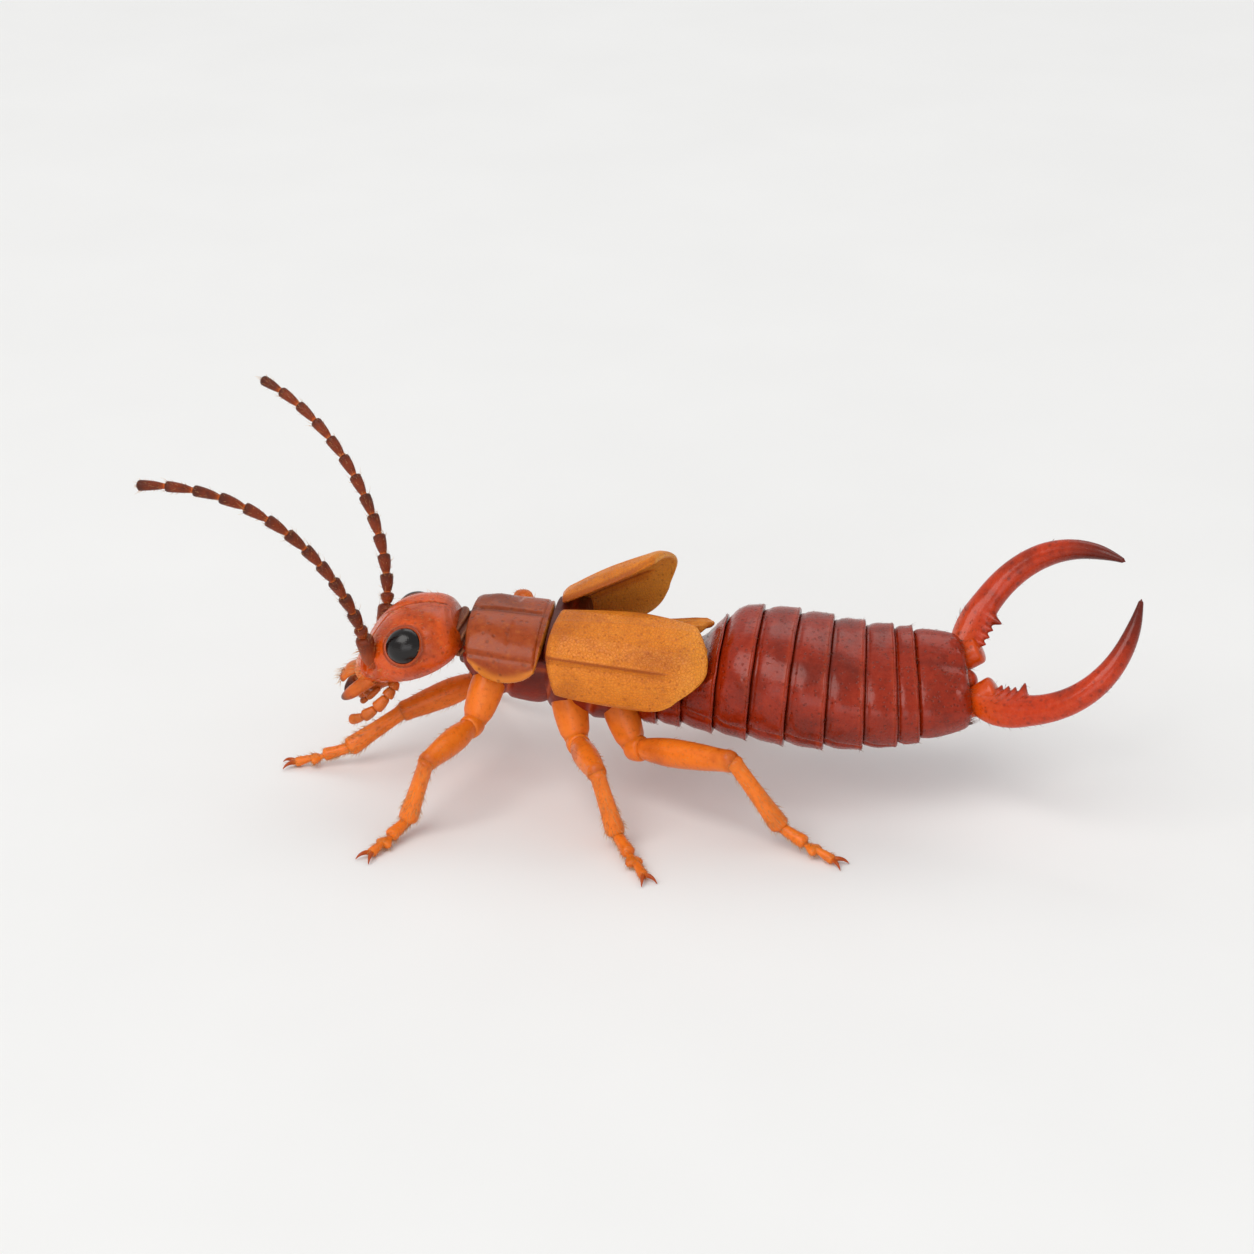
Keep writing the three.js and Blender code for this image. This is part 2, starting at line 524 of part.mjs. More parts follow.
function abdomenSegment(index) {
  const start = THORAX_LENGTH + ABDOMEN_LENGTHS.slice(0, index).reduce((sum, length) => sum + length, 0);
  const end = start + ABDOMEN_LENGTHS[index];
  const front = start + GAP / 2;
  const rear = end - GAP / 2;
  const collar = index === 0 ? [] : [abdomenRing(front - COLLAR, RIM + GAP), abdomenRing(front, RIM + GAP)];
  const shell = [
    abdomenRing(front, 0.09), abdomenRing(mix(front, rear, 0.4), 0), abdomenRing(rear, -TERGITE_LIP),
  ];
  const cup = [abdomenRing(rear, RIM - TERGITE_LIP), abdomenRing(rear - CUP, RIM)];
  return skin([...collar, ...shell, ...cup]);
}

function lastSegment() {
  const start = TRUNK_LENGTH - ABDOMEN_LENGTHS.at(-1);
  const front = start + GAP / 2;
  const rings = [[0, 0.09], [0.2, 0.01], [0.55, 0], [0.85, 0.03], [0.97, 0.14], [1, 0.3]]
    .map(([t, inset]) => abdomenRing(mix(front, TRUNK_LENGTH, t), inset));
  const body = skin([abdomenRing(front - COLLAR, RIM + GAP), abdomenRing(front, RIM + GAP), ...rings]);
  const arms = [-1, 1].map((side) => forcepsArm(side, GAP));
  return cut(body, [forcepsRoot(-1, GAP), forcepsRoot(1, GAP), ...arms, pygidium(GAP)]);
}

// Forceps: two bowed pincers in one plane, raised above the line of the tail and turned to the right.
function forcepsFrame() {
  const f = trunkFrame(TRUNK_LENGTH);
  const back = f.back.clone().applyAxisAngle(f.up, radians(FORCEPS.turn));
  const side = f.side.clone().applyAxisAngle(f.up, radians(FORCEPS.turn));
  const rise = radians(FORCEPS.rise);
  const away = back.multiplyScalar(Math.cos(rise)).addScaledVector(f.up, Math.sin(rise));
  return { origin: f.origin, away, side, up: away.clone().cross(side) };
}
const TAIL = forcepsFrame();
const inTail = (out, away, up) => TAIL.origin.clone()
  .addScaledVector(TAIL.side, out).addScaledVector(TAIL.away, away).addScaledVector(TAIL.up, up);

function forcepsRoot(side, grow = 0) {
  return limb(inTail(side * FORCEPS.root, -0.45, 0), inTail(side * FORCEPS.root, 0.6, 0), TAIL.up,
    FORCEPS.halfWidth + grow, FORCEPS.thick + grow, 12, 4);
}

const forcepsCurve = (side) => new THREE.CubicBezierCurve3(...FORCEPS_PATH.map(([out, away], i) =>
  inTail(side * (FORCEPS.root + out), away, (FORCEPS.bend * i * i) / 9)));

function forcepsArm(side, grow = 0) {
  const curve = forcepsCurve(side);
  const steps = 16;
  const shares = range(steps + 1).map((i) => i / steps);
  const wide = shares.map((t) => along(FORCEPS_WIDTH, t));
  const thick = wide.map((value) => Math.min(FORCEPS.thick, value * 1.05));
  const grown = (sizes) => sizes.map((value) => value + grow);
  return rod(shares.map((t) => curve.getPointAt(t)), grown(wide), grown(thick), TAIL.up, 9);
}

function forceps(side) {
  const curve = forcepsCurve(side);
  const teeth = range(FORCEPS_TEETH).map((i) => {
    const t = 0.06 + 0.04 * i;
    const ahead = curve.getTangentAt(t);
    const inward = ahead.clone().cross(TAIL.up).normalize().multiplyScalar(side);
    const length = i === FORCEPS_TEETH - 1 ? TOOTH.lastLength : TOOTH.length;
    const centre = curve.getPointAt(t);
    const tip = centre.clone().addScaledVector(inward, length).addScaledVector(ahead, 0.05);
    return shaft(centre, tip, TOOTH.form, TOOTH.radius, 5);
  });
  return largest(union([forcepsArm(side), forcepsRoot(side), ...teeth]));
}

const pygidium = (grow = 0) =>
  limb(inTail(0, -0.35, 0.02), inTail(0, 0.22, -0.02), TAIL.up, 0.16 + grow, 0.2 + grow, 8, 4);

// Legs: coxa, trochanter, femur, tibia, three tarsal joints and two claws in one node.
function coxaRoot(pair, side) {
  const s = LEG_SIZES[pair].station;
  const [, , low] = thoraxSizes(s);
  return inTrunk(s, side * COXA.side, -low * COXA.height);
}

function kneeBetween(hip, ankle, femur, tibia, toward) {
  const line = ankle.clone().sub(hip);
  const reach = Math.min(line.length(), (femur + tibia) * 0.995);
  const cosine = (femur ** 2 + reach ** 2 - tibia ** 2) / (2 * femur * reach);
  const dir = line.clone().normalize();
  const bend = toward.clone().addScaledVector(dir, -toward.dot(dir)).normalize();
  return hip.clone().addScaledVector(dir, femur * cosine)
    .addScaledVector(bend, femur * Math.sqrt(1 - cosine ** 2));
}

function legJoints({ pair, side, back, out, lean, ankle: ankleHeight, ...own }) {
  const size = { ...LEG_SIZES[pair], ...own };
  const root = coxaRoot(pair, side);
  const toe = vector(root.x + back, root.y + side * out, TOE_HEIGHT);
  const plan = vector(toe.x - root.x, toe.y - root.y, 0).normalize();
  const outward = vector(plan.x * COXA.sweep, side, 0).normalize();
  const hip = root.clone().addScaledVector(outward, COXA.length * COXA.out)
    .addScaledVector(vector(0, 0, -1), COXA.length * COXA.down);
  const step = Math.sqrt(size.tarsus ** 2 - (ankleHeight - TOE_HEIGHT) ** 2);
  const ankle = toe.clone().addScaledVector(plan, -step);
  ankle.z = ankleHeight;
  const bend = vector(0, side * Math.sin(radians(lean)), Math.cos(radians(lean)));
  return { root, hip, knee: kneeBetween(hip, ankle, size.femur, size.tibia, bend), ankle, toe, plan };
}

const coxaSolid = (stance, grow = 0) => {
  const { root, hip } = legJoints(stance);
  const form = COXA_FORM.map(([t, share]) => [t, share + grow / COXA.radius]);
  return shaft(root, hip, form, COXA.radius, 8);
};

function claw(toe, plan, turn) {
  const ahead = plan.clone().applyAxisAngle(vector(0, 0, 1), radians(turn));
  const root = toe.clone().addScaledVector(plan, -0.08);
  const bend = root.clone().addScaledVector(ahead, CLAW.length * 0.6).add(vector(0, 0, 0.06));
  const tip = root.clone().addScaledVector(ahead, CLAW.length).add(vector(0, 0, -CLAW.drop));
  return stem(new THREE.QuadraticBezierCurve3(root, bend, tip), CLAW_FORM, CLAW.radius, vector(0, 0, 1), 5);
}

function leg(stance) {
  const size = LEG_SIZES[stance.pair];
  const { hip, knee, ankle, toe, plan } = legJoints(stance);
  const kneeEnd = knee.clone().addScaledVector(knee.clone().sub(hip).normalize(), KNEE_REACH);
  const whole = union([
    coxaSolid(stance),
    shaft(hip, kneeEnd, FEMUR_FORM, size.thick),
    shaft(knee, ankle, TIBIA_FORM, THIN / 2),
    shaft(ankle, toe, TARSUS_FORM, THIN / 2, 8, 0.92),
    claw(toe, plan, CLAW.spread),
    claw(toe, plan, -CLAW.spread),
  ]);
  return largest(whole.trimByPlane([0, 0, 1], 0));
}

// Every node of the animal, in its own named mesh.
function node(name, body, material) {
  const mesh = body.getMesh();
  const geometry = new THREE.BufferGeometry();
  geometry.setAttribute("position", new THREE.BufferAttribute(mesh.vertProperties, 3));
  geometry.setIndex(new THREE.BufferAttribute(mesh.triVerts, 1));
  geometry.computeVertexNormals();
  const made = new THREE.Mesh(geometry, material);
  made.name = name;
  return made;
}

const earwig = new THREE.Group();
const SIDES = [["left", -1], ["right", 1]];
const coxaSockets = STANCE.map((stance) => coxaSolid(stance, GAP));

earwig.add(node("head", headCapsule(), MATERIALS.head));
earwig.add(node("neck", neck(), MATERIALS.thorax));
earwig.add(node("labrum", labrum(), MATERIALS.mouth));
earwig.add(node("labium", labium(), MATERIALS.mouth));
for (const [word, side] of SIDES) {
  earwig.add(node(`eye_${word}`, eye(side, -GAP / 2), MATERIALS.eye));
  earwig.add(node(`antenna_${word}`, antenna(side), MATERIALS.feeler));
  earwig.add(node(`mandible_${word}`, mandible(side), MATERIALS.mouth));
  earwig.add(node(`palp_${word}`, palp(side), MATERIALS.mouth));
  earwig.add(node(`wing_${word}`, foldedWing(side), MATERIALS.wing));
  earwig.add(node(`forceps_${word}`, forceps(side), MATERIALS.forceps));
}
earwig.add(node("pronotum", pronotum(), MATERIALS.pronotum));
const prothorax = cut(thoraxRing(PROTHORAX_START, WAIST - GAP / 2, 5), [neck(GAP), ...coxaSockets]);
const pterothorax = cut(thoraxRing(WAIST + GAP / 2, THORAX_LENGTH - GAP / 2, 5), coxaSockets);
earwig.add(node("prothorax", prothorax, MATERIALS.thorax));
earwig.add(node("pterothorax", pterothorax, MATERIALS.thorax));
earwig.add(node("tegmen_left", tegmen(-1, TEGMEN.length), MATERIALS.tegmen));
earwig.add(node("tegmen_right", raisedTegmen(), MATERIALS.tegmen));
for (let i = 0; i < ABDOMEN_LENGTHS.length - 1; i++)
  earwig.add(node(`abdomen_${String(i + 1).padStart(2, "0")}`, abdomenSegment(i), MATERIALS.abdomen));
earwig.add(node("abdomen_10", lastSegment(), MATERIALS.abdomen));
earwig.add(node("pygidium", pygidium(), MATERIALS.forceps));
for (const stance of STANCE) earwig.add(node(stance.name, leg(stance), MATERIALS.leg));

// The frame's origin is on the floor, under the middle of the animal's bounding box.
const bounds = new THREE.Box3().setFromObject(earwig);
const middle = bounds.getCenter(vector(0, 0, 0));
earwig.position.set(-middle.x, -middle.y, 0);

export default earwig;
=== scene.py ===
"""Looks of the male common earwig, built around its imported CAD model.

The pieces are made in millimetres on the part's own lines: the trunk's bent axis, the head's frame, the
joints of the legs, and the curves of the feelers and forceps. They turn to metres as each mesh is made.
"""
from math import ceil, comb

import bmesh
import bpy
import numpy as np
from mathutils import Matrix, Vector
from numpy import arange, array, asarray, clip, concatenate, cos, cross, cumsum, linspace, maximum, meshgrid
from numpy import minimum, pi, radians, sin, sqrt, stack
from numpy.linalg import norm


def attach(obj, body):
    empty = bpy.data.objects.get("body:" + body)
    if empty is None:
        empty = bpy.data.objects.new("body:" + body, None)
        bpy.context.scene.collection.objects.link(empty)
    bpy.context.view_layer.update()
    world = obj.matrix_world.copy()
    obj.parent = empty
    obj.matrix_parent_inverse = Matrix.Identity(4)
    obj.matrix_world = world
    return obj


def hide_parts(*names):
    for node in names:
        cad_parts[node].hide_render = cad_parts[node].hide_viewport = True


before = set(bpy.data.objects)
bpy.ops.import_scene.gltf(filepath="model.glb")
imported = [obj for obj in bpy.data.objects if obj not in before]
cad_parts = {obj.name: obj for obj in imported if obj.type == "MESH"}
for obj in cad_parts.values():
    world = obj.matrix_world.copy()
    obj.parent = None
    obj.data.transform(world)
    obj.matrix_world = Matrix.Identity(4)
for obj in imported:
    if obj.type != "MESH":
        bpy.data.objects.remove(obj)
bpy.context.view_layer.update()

# The part's driving dimensions, in millimetres and degrees.
MM = 0.001
SHIFT = array([-4.55332923, 0.08792019, 0.0])  # from the trunk's axis to the frame's origin
GAP = 0.1
SHOULDER_HEIGHT = 3.86
THORAX_LENGTH = 4.5
ABDOMEN_LENGTHS = [0.45, 0.6, 0.82, 0.86, 0.9, 0.9, 0.86, 0.76, 0.5, 1.3]
ABDOMEN_LENGTH = sum(ABDOMEN_LENGTHS)
TRUNK_LENGTH = THORAX_LENGTH + ABDOMEN_LENGTH
THORAX_PITCH, TAIL_PITCH, TAIL_YAW = -4.4, 4.5, 9
THORAX_ROLL, TAIL_ROLL, BEND_FROM = 5, 30, 7.6
SPINE_STEP = 0.05
SECTION_POWER = 2.35

PRONOTUM = {"start": 0.14, "length": 2.0, "low": 1.3, "wrap": 14, "front": 0.32, "rear": 0.28, "inner": 1}
PRONOTUM_SIZES = [[0, 1.34], [0.5, 1.46], [1, 1.5]], [[0, 0.8], [0.4, 0.86], [1, 0.88]]
TEGMEN = {"start": 2.24, "length": 3.95, "low": 1.4, "wrap": 20, "front": 0.28, "rear": 0.6, "inner": 0.6}
TEGMEN_SIZES = [[0, 1.66], [0.5, 1.78], [1, 1.84]], [[0, 1.3], [0.5, 1.46], [1, 1.42]]
WING = {"start": 3.3, "length": 2.8, "low": 1.3, "wrap": -38, "front": 0.42, "rear": 0.7, "inner": 0.8}
WING_SIZES = [[0, 1.16], [0.6, 1.24], [1, 1.36]], [[0, 0.66], [0.6, 0.76], [0.84, 0.88], [1, 0.98]]
RAISED_TEGMEN = {"length": 2.9, "lift": 27, "spread": 6, "roll": -4}

HEAD_LENGTH, HEAD_PITCH, HEAD_YAW, HEAD_START, HEAD_RISE = 2.9, 29, 3, -0.1, 0.38
HEAD_HALF_WIDTH = [[0, 0.6], [0.07, 1.04], [0.3, 1.35], [0.55, 1.28], [0.78, 0.94], [1, 0.5]]
HEAD_TOP = [[0, 0.44], [0.12, 0.76], [0.4, 1.0], [0.65, 0.88], [0.85, 0.54], [1, 0.22]]
HEAD_BOTTOM = [[0, 0.42], [0.2, 0.68], [0.5, 0.7], [0.8, 0.48], [1, 0.22]]
MANDIBLE_PATH = [[0.9, 0.44, -0.21], [1.2, 0.56, -0.33], [1.25, 0.12, -0.45]]
PALP_PATH = [[0.72, 0.52, -0.52], [0.86, 0.76, -0.84], [1.08, 0.92, -0.96], [1.24, 0.64, -0.88]]
EYE = {"along": 0.41, "side": 1.08, "height": 0.4, "length": 0.49, "tall": 0.45, "deep": 0.36}

ANTENNA_JOINTS = 14
ANTENNA_ROOT = [0.8, 0.76, 0.22]
ANTENNA_LEFT = [[-0.15, -0.75, 2.54], [-1.93, -1.2, 5.32], [-5.22, -1.45, 5.13]]
ANTENNA_RIGHT = [[0.6, 0.8, 1.75], [-0.95, 2.0, 4.8], [-3.58, 3.4, 5.39]]

# Half width, height above the axis and depth below it, along the abdomen and the thorax.
ABDOMEN_SIZES = (
    [[0, 1.12], [0.1, 1.16], [0.165, 1.26], [0.3, 1.66], [0.5, 1.84], [0.75, 1.64], [1, 1.22]],
    [[0, 0.16], [0.12, 0.22], [0.17, 0.34], [0.215, 0.86], [0.27, 1.34], [0.35, 1.48], [0.5, 1.42],
     [0.7, 1.08], [1, 0.64]],
    [[0, 1.6], [0.15, 1.56], [0.3, 1.48], [0.6, 1.34], [1, 0.82]],
)
THORAX_SIZES = (
    [[0, 0.7], [0.12, 0.84], [0.46, 0.9], [0.54, 1.08], [0.7, 1.14], [1, 1.12]],
    [[0, 0.14], [0.15, 0.2], [0.5, 0.2], [1, 0.18]],
    [[0, 0.65], [0.15, 1.25], [0.6, 1.6], [1, 1.6]],
)
WAIST = 2.22

FORCEPS = {"root": 0.62, "rise": 28, "turn": 12, "thick": 0.31, "bend": 0.28}
FORCEPS_PATH = [[-0.08, 0], [1.0, 0.59], [2.57, 3.05], [-0.05, 4.79]]
FORCEPS_WIDTH = [[0, 0.3], [0.14, 0.42], [0.32, 0.37], [0.6, 0.3], [0.85, 0.19], [1, 0.05]]

COXA = {"length": 1.2, "radius": 0.42, "side": 0.62, "height": 0.62, "out": 0.55, "down": 0.8, "sweep": 1.1}
LEG_SIZES = {
    "front": {"station": 0.8, "femur": 2.2, "tibia": 1.6, "tarsus": 1.45, "thick": 0.31},
    "middle": {"station": 2.75, "femur": 2.3, "tibia": 1.65, "tarsus": 1.8, "thick": 0.31},
    "hind": {"station": 4.0, "femur": 3.2, "tibia": 2.05, "tarsus": 1.6, "thick": 0.34},
}
# Each foot's place from its coxa, tailward and outward, the knee's lean and the ankle's height.
STANCE = {
    "leg_front_left": ("front", -1, -2.26, 4.06, 34, 0.42),
    "leg_middle_left": ("middle", -1, 2.49, 4.24, 34, 0.38),
    "leg_hind_left": ("hind", -1, 5.64, 2.85, 20, 0.55),
    "leg_front_right": ("front", 1, -5.1, -1.0, 30, 0.5),
    "leg_middle_right": ("middle", 1, -2.9, 3.65, -5, 1.1, {"femur": 2.75, "tibia": 2.8}),
    "leg_hind_right": ("hind", 1, 4.2, 3.9, 50, 0.5),
}
TOE_HEIGHT = 0.09
KNEE_REACH = 0.12
FLOOR_CLEARANCE = 0.004


# Numbers, vectors and curves.
def vec(*values):
    return array(values, float)


def unit(v):
    return v / norm(v, axis=-1, keepdims=True)


def mix(a, b, t):
    return a + (b - a) * t


def smooth(x, low, high):
    t = clip((asarray(x, float) - low) / (high - low), 0, 1)
    return t * t * (3 - 2 * t)


def bell(x, centre, width):
    return np.exp(-(((x - centre) / width) ** 2))


def past(low, high):
    """Where hairs grow: none at the first share of a patch's length, and all at the second."""
    return lambda u, v: smooth(v, low, high)


def around(count):
    return arange(count) * 2 * pi / count


def lattice(rows, columns):
    return meshgrid(rows, columns, indexing="ij")


def along(table, t):
    """Smooth value at t from a short table of [t, value] rows."""
    xs, ys = array(table, float).T
    last = len(xs) - 1
    k = arange(last + 1)
    low, high = maximum(k - 1, 0), minimum(k + 1, last)
    slope = (ys[high] - ys[low]) / (xs[high] - xs[low])
    t = asarray(t, float)
    i = clip(np.searchsorted(xs, t, side="left") - 1, 0, last - 1)
    span = xs[i + 1] - xs[i]
    u = clip((t - xs[i]) / span, 0, 1)
    uu, uuu = u * u, u * u * u
    return ((2 * uuu - 3 * uu + 1) * ys[i] + (uuu - 2 * uu + u) * span * slope[i]
            + (3 * uu - 2 * uuu) * ys[i + 1] + (uuu - uu) * span * slope[i + 1])


def bezier(points, steps=500):
    """Points at even steps of length on a Bezier curve, as a function of the share of its length."""
    points = array(points, float)
    n = len(points) - 1
    t = linspace(0, 1, steps)[:, None]
    dense = sum(comb(n, i) * (1 - t) ** (n - i) * t ** i * points[i] for i in range(n + 1))
    run = concatenate([[0], cumsum(norm(np.diff(dense, axis=0), axis=1))])
    run /= run[-1]
    return lambda share: stack([np.interp(share, run, dense[:, k]) for k in range(3)], -1)


def direction_at(s):
    bend = smooth(s, BEND_FROM, TRUNK_LENGTH)
    pitch = radians(mix(THORAX_PITCH, TAIL_PITCH, bend))
    yaw = radians(TAIL_YAW * bend)
    return stack([cos(pitch) * cos(yaw), cos(pitch) * sin(yaw), sin(pitch)], -1)


SPINE_AT = arange(round(TRUNK_LENGTH / SPINE_STEP) + 1) * SPINE_STEP
SPINE = vec(0, 0, SHOULDER_HEIGHT) + np.vstack(
    [np.zeros(3), cumsum(direction_at(SPINE_AT[:-1] + SPINE_STEP / 2) * SPINE_STEP, axis=0)])


def trunk_frame(s):
    """The trunk's own axes at a station: its origin, then back, side (the right) and up."""
    s = asarray(s, float)
    inside = clip(s, 0, TRUNK_LENGTH)
    back = direction_at(s)
    origin = stack([np.interp(inside, SPINE_AT, SPINE[:, k]) for k in range(3)], -1)
    origin = origin + (s - inside)[..., None] * back
    level = unit(stack([-back[..., 1], back[..., 0], 0 * back[..., 0]], -1))
    roll = radians(mix(THORAX_ROLL, TAIL_ROLL, smooth(s, BEND_FROM, TRUNK_LENGTH)))[..., None]
    side = level * cos(roll) + cross(back, level) * sin(roll)
    return origin, back, side, cross(back, side)


def in_trunk(s, y, z):
    origin, _, side, up = trunk_frame(s)
    return origin + side * asarray(y, float)[..., None] + up * asarray(z, float)[..., None]


def section(angle, half_width, high, low):
    """A point of a flattened round section: angle 0 is the right side and 90 degrees is up."""
    bulge = lambda v: np.sign(v) * abs(v) ** (2 / SECTION_POWER)
    return half_width * bulge(cos(angle)), np.where(sin(angle) > 0, high, low) * bulge(sin(angle))


def head_axes():
    pitch, yaw = radians(HEAD_PITCH), radians(HEAD_YAW)
    ahead = unit(vec(-cos(pitch) * cos(yaw), -sin(yaw), -sin(pitch)))
    side = -unit(cross(vec(0, 0, 1), ahead))
    return ahead, side, cross(side, ahead)


NECK = in_trunk(HEAD_START, 0, HEAD_RISE)
HEAD_AHEAD, HEAD_SIDE, HEAD_UP = head_axes()


def in_head(t, y, z):
    t, y, z = (asarray(v, float)[..., None] for v in (t, y, z))
    return NECK + HEAD_AHEAD * t * HEAD_LENGTH + HEAD_SIDE * y + HEAD_UP * z


def head_path(side, *places):
    return [in_head(t, side * y, z) for t, y, z in places]


# Meshes from grids of points.
class Shell:
    """Patches of points joined in one mesh, each with its tile of the unwrap and a tone for its colour."""

    def __init__(self):
        self.patches = []

    def add(self, points, tone=0.0, closed=True):
        """Adds a grid of points, with one tone, a tone for each row or a tone for each point."""
        points, tone = asarray(points, float), clip(tone, -1, 1)
        if tone.ndim == 1:
            tone = tone[:, None]
        self.patches.append((points, np.broadcast_to(tone, points.shape[:2]), closed))
        return len(self.patches) - 1

    def plate(self, outer, inner, across, lengthwise, edge, tone, painted_underside_light=0.0):
        """A plate between two faces given at u across and v along, thinned to a round rim at its edges."""
        u, v = meshgrid(*(sin(linspace(-1, 1, n) * pi / 2) for n in (across, lengthwise)))
        rim = lambda x, e: sqrt(clip(1 - (clip((abs(x) - 1 + e) / e, 0, 1)) ** 2, 0, 1))
        full = rim(u, edge[0]) * rim(v, edge[1])
        top, bottom = outer(u, v), inner(u, v)
        middle, half = (top + bottom) / 2, (top - bottom) / 2 * full[..., None]
        shade = clip(tone(u, v), -1, 1)
        # The underside's tone is lifted paler here: painted light against the shade the underside lies in,
        # less where the tone is dark.
        under = shade + painted_underside_light * (1 + minimum(shade, 0))
        first = self.add(middle + half, shade, closed=False)
        self.add((middle - half)[:, ::-1], np.fliplr(under), closed=False)
        return first

    def tile(self, index, uv):
        count = ceil(sqrt(len(self.patches)))
        return (array([index % count, index // count]) + 0.02 + 0.96 * uv) / count

    def build(self, name, slot, node, weld=False):
        """Joins the patches in one mesh. A closed patch is a tube, with a fan of faces at each end."""
        points, tones, loops, sizes, uvs = [], [], [], [], []
        base = 0
        corners = lambda a: stack([a[:-1, :-1], a[:-1, 1:], a[1:, 1:], a[1:, :-1]], 2)
        for index, (grid, tone, closed) in enumerate(self.patches):
            rows, cols = tone.shape
            ids = base + arange(rows * cols).reshape(rows, cols)
            ring = np.hstack([ids, ids[:, :1]]) if closed else ids
            place = stack(meshgrid(linspace(0, 1, ring.shape[1]), linspace(0.03, 0.97, rows)), -1)
            faces = [(corners(ring).reshape(-1, 4), corners(place).reshape(-1, 4, 2))]
            flat, shades = grid.reshape(-1, 3), tone.ravel()
            for row, turn in ((0, 1), (rows - 1, 0)) if closed else ():
                centre = np.full(cols, base + len(flat))
                flat = np.vstack([flat, grid[row].mean(0)])
                shades = np.append(shades, tone[row].mean())
                pair = ring[row, :-1], ring[row, 1:]
                spots = place[row, :-1], place[row, 1:]
                middle = (spots[0] + spots[1]) / 2
                middle[:, 1] = 1 - turn
                faces.append((stack([centre, pair[turn], pair[1 - turn]], 1),
                              stack([middle, spots[turn], spots[1 - turn]], 1)))
            outward = 0
            for face, _ in faces:
                a, b, c = (flat[face[:, k] - base] for k in range(3))
                outward += np.einsum("ij,ij->", a - flat.mean(0), cross(b - a, c - a))
            for face, spot in faces:
                if outward < 0 and closed:
                    face, spot = face[:, ::-1], spot[:, ::-1]
                loops.append(face.ravel())
                sizes.append(np.full(len(face), face.shape[1]))
                uvs.append(self.tile(index, spot.reshape(-1, 2)))
            points.append(flat)
            tones.append(shades)
            base += len(flat)
        data = (concatenate(values) for values in (points, loops, sizes, uvs, tones))
        make_mesh(name, slot, [node], SKINS[slot], *data, weld)


def link(name, data):
    made = bpy.data.objects.new(name, data)
    bpy.context.scene.collection.objects.link(made)
    return made


def make_mesh(name, slot, nodes, material, points, loops, sizes, uvs, tones, weld=False):
    mesh = bpy.data.meshes.new(name)
    mesh.vertices.add(len(points))
    mesh.vertices.foreach_set("co", ((points + SHIFT) * MM).astype(np.float32).ravel())
    mesh.loops.add(len(loops))
    mesh.loops.foreach_set("vertex_index", loops.astype(np.int32))
    mesh.polygons.add(len(sizes))
    mesh.polygons.foreach_set("loop_start", concatenate([[0], cumsum(sizes)[:-1]]).astype(np.int32))
    mesh.uv_layers.new(name="OFBake").data.foreach_set("uv", uvs.astype(np.float32).ravel())
    mesh.attributes.new("tone", "FLOAT", "POINT").data.foreach_set("value", tones.astype(np.float32))
    mesh.update(calc_edges=True)
    mesh.validate()
    if weld:
        work = bmesh.new()
        work.from_mesh(mesh)
        bmesh.ops.remove_doubles(work, verts=work.verts, dist=1e-7)
        bmesh.ops.recalc_face_normals(work, faces=work.faces)
        work.to_mesh(mesh)
        work.free()
    mesh.shade_smooth()
    mesh.materials.append(material)
    piece = link(name, mesh)
    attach(piece, "root")
    if nodes:
        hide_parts(*nodes)


def tube(points, across, over, upward, sides=40):
    """Rings round a line of points, with a half size across and over at each row, or at each vertex."""
    ahead = unit(np.gradient(points, axis=0))
    sideways = unit(cross(ahead, upward))
    above = cross(sideways, ahead)
    angle = around(sides)
    sizes = lambda table: asarray(table, float).reshape(len(points), -1)
    wide, high = sizes(across) * cos(angle), sizes(over) * sin(angle)
    return points[:, None] + sideways[:, None] * wide[..., None] + above[:, None] * high[..., None]


def line(a, b, shares):
    return a + (b - a) * asarray(shares, float)[:, None]


def rounded(steps):
    """Shares of a length, close together at both ends."""
    return (1 - cos(linspace(0.02, pi - 0.02, steps))) / 2


def dome(t, power=5):
    return sqrt(clip(1 - abs(2 * t - 1) ** power, 0.0004, 1))


def swell(form, t, size, power):
    return along(form, t) * size * dome(t, power)


def notched(a, b, form, half_width, half_height, notch, upward, rows):
    """A flat lobe from a to b, with a notch of a given depth and width, full at a share of the length."""
    t = rounded(rows)
    depth, width, full = notch
    cut = 1 - depth * bell(cos(around(48)), 0, width) * smooth(t, 0.6, full)[:, None]
    over = half_height * dome(t)[:, None] * cut
    return tube(line(a, b, t), swell(form, t, half_width, 5), over, upward, 48)


def joint(a, b, table, size, upward, flat=1.0, rows=44, sides=36, drop=0.0):
    """One joint of a limb: a tube from a to b with its half size from a table, and domed at both ends."""
    t = rounded(rows)
    sizes = swell(table, t, size, 14)
    points = line(a, b, t)
    points[:, 2] -= drop
    return tube(points, sizes, sizes * flat, upward, sides)


# Hairs: thin solid tapered rods rooted on a patch of a shell.
HAIR_SHARES = (0.0, 0.35, 0.7, 0.9)
HAIR_ROOT = 0.012
HAIR_TILE = 0.00075
HAIR_SPREAD, HAIR_TWIST = 0.25, 0.22


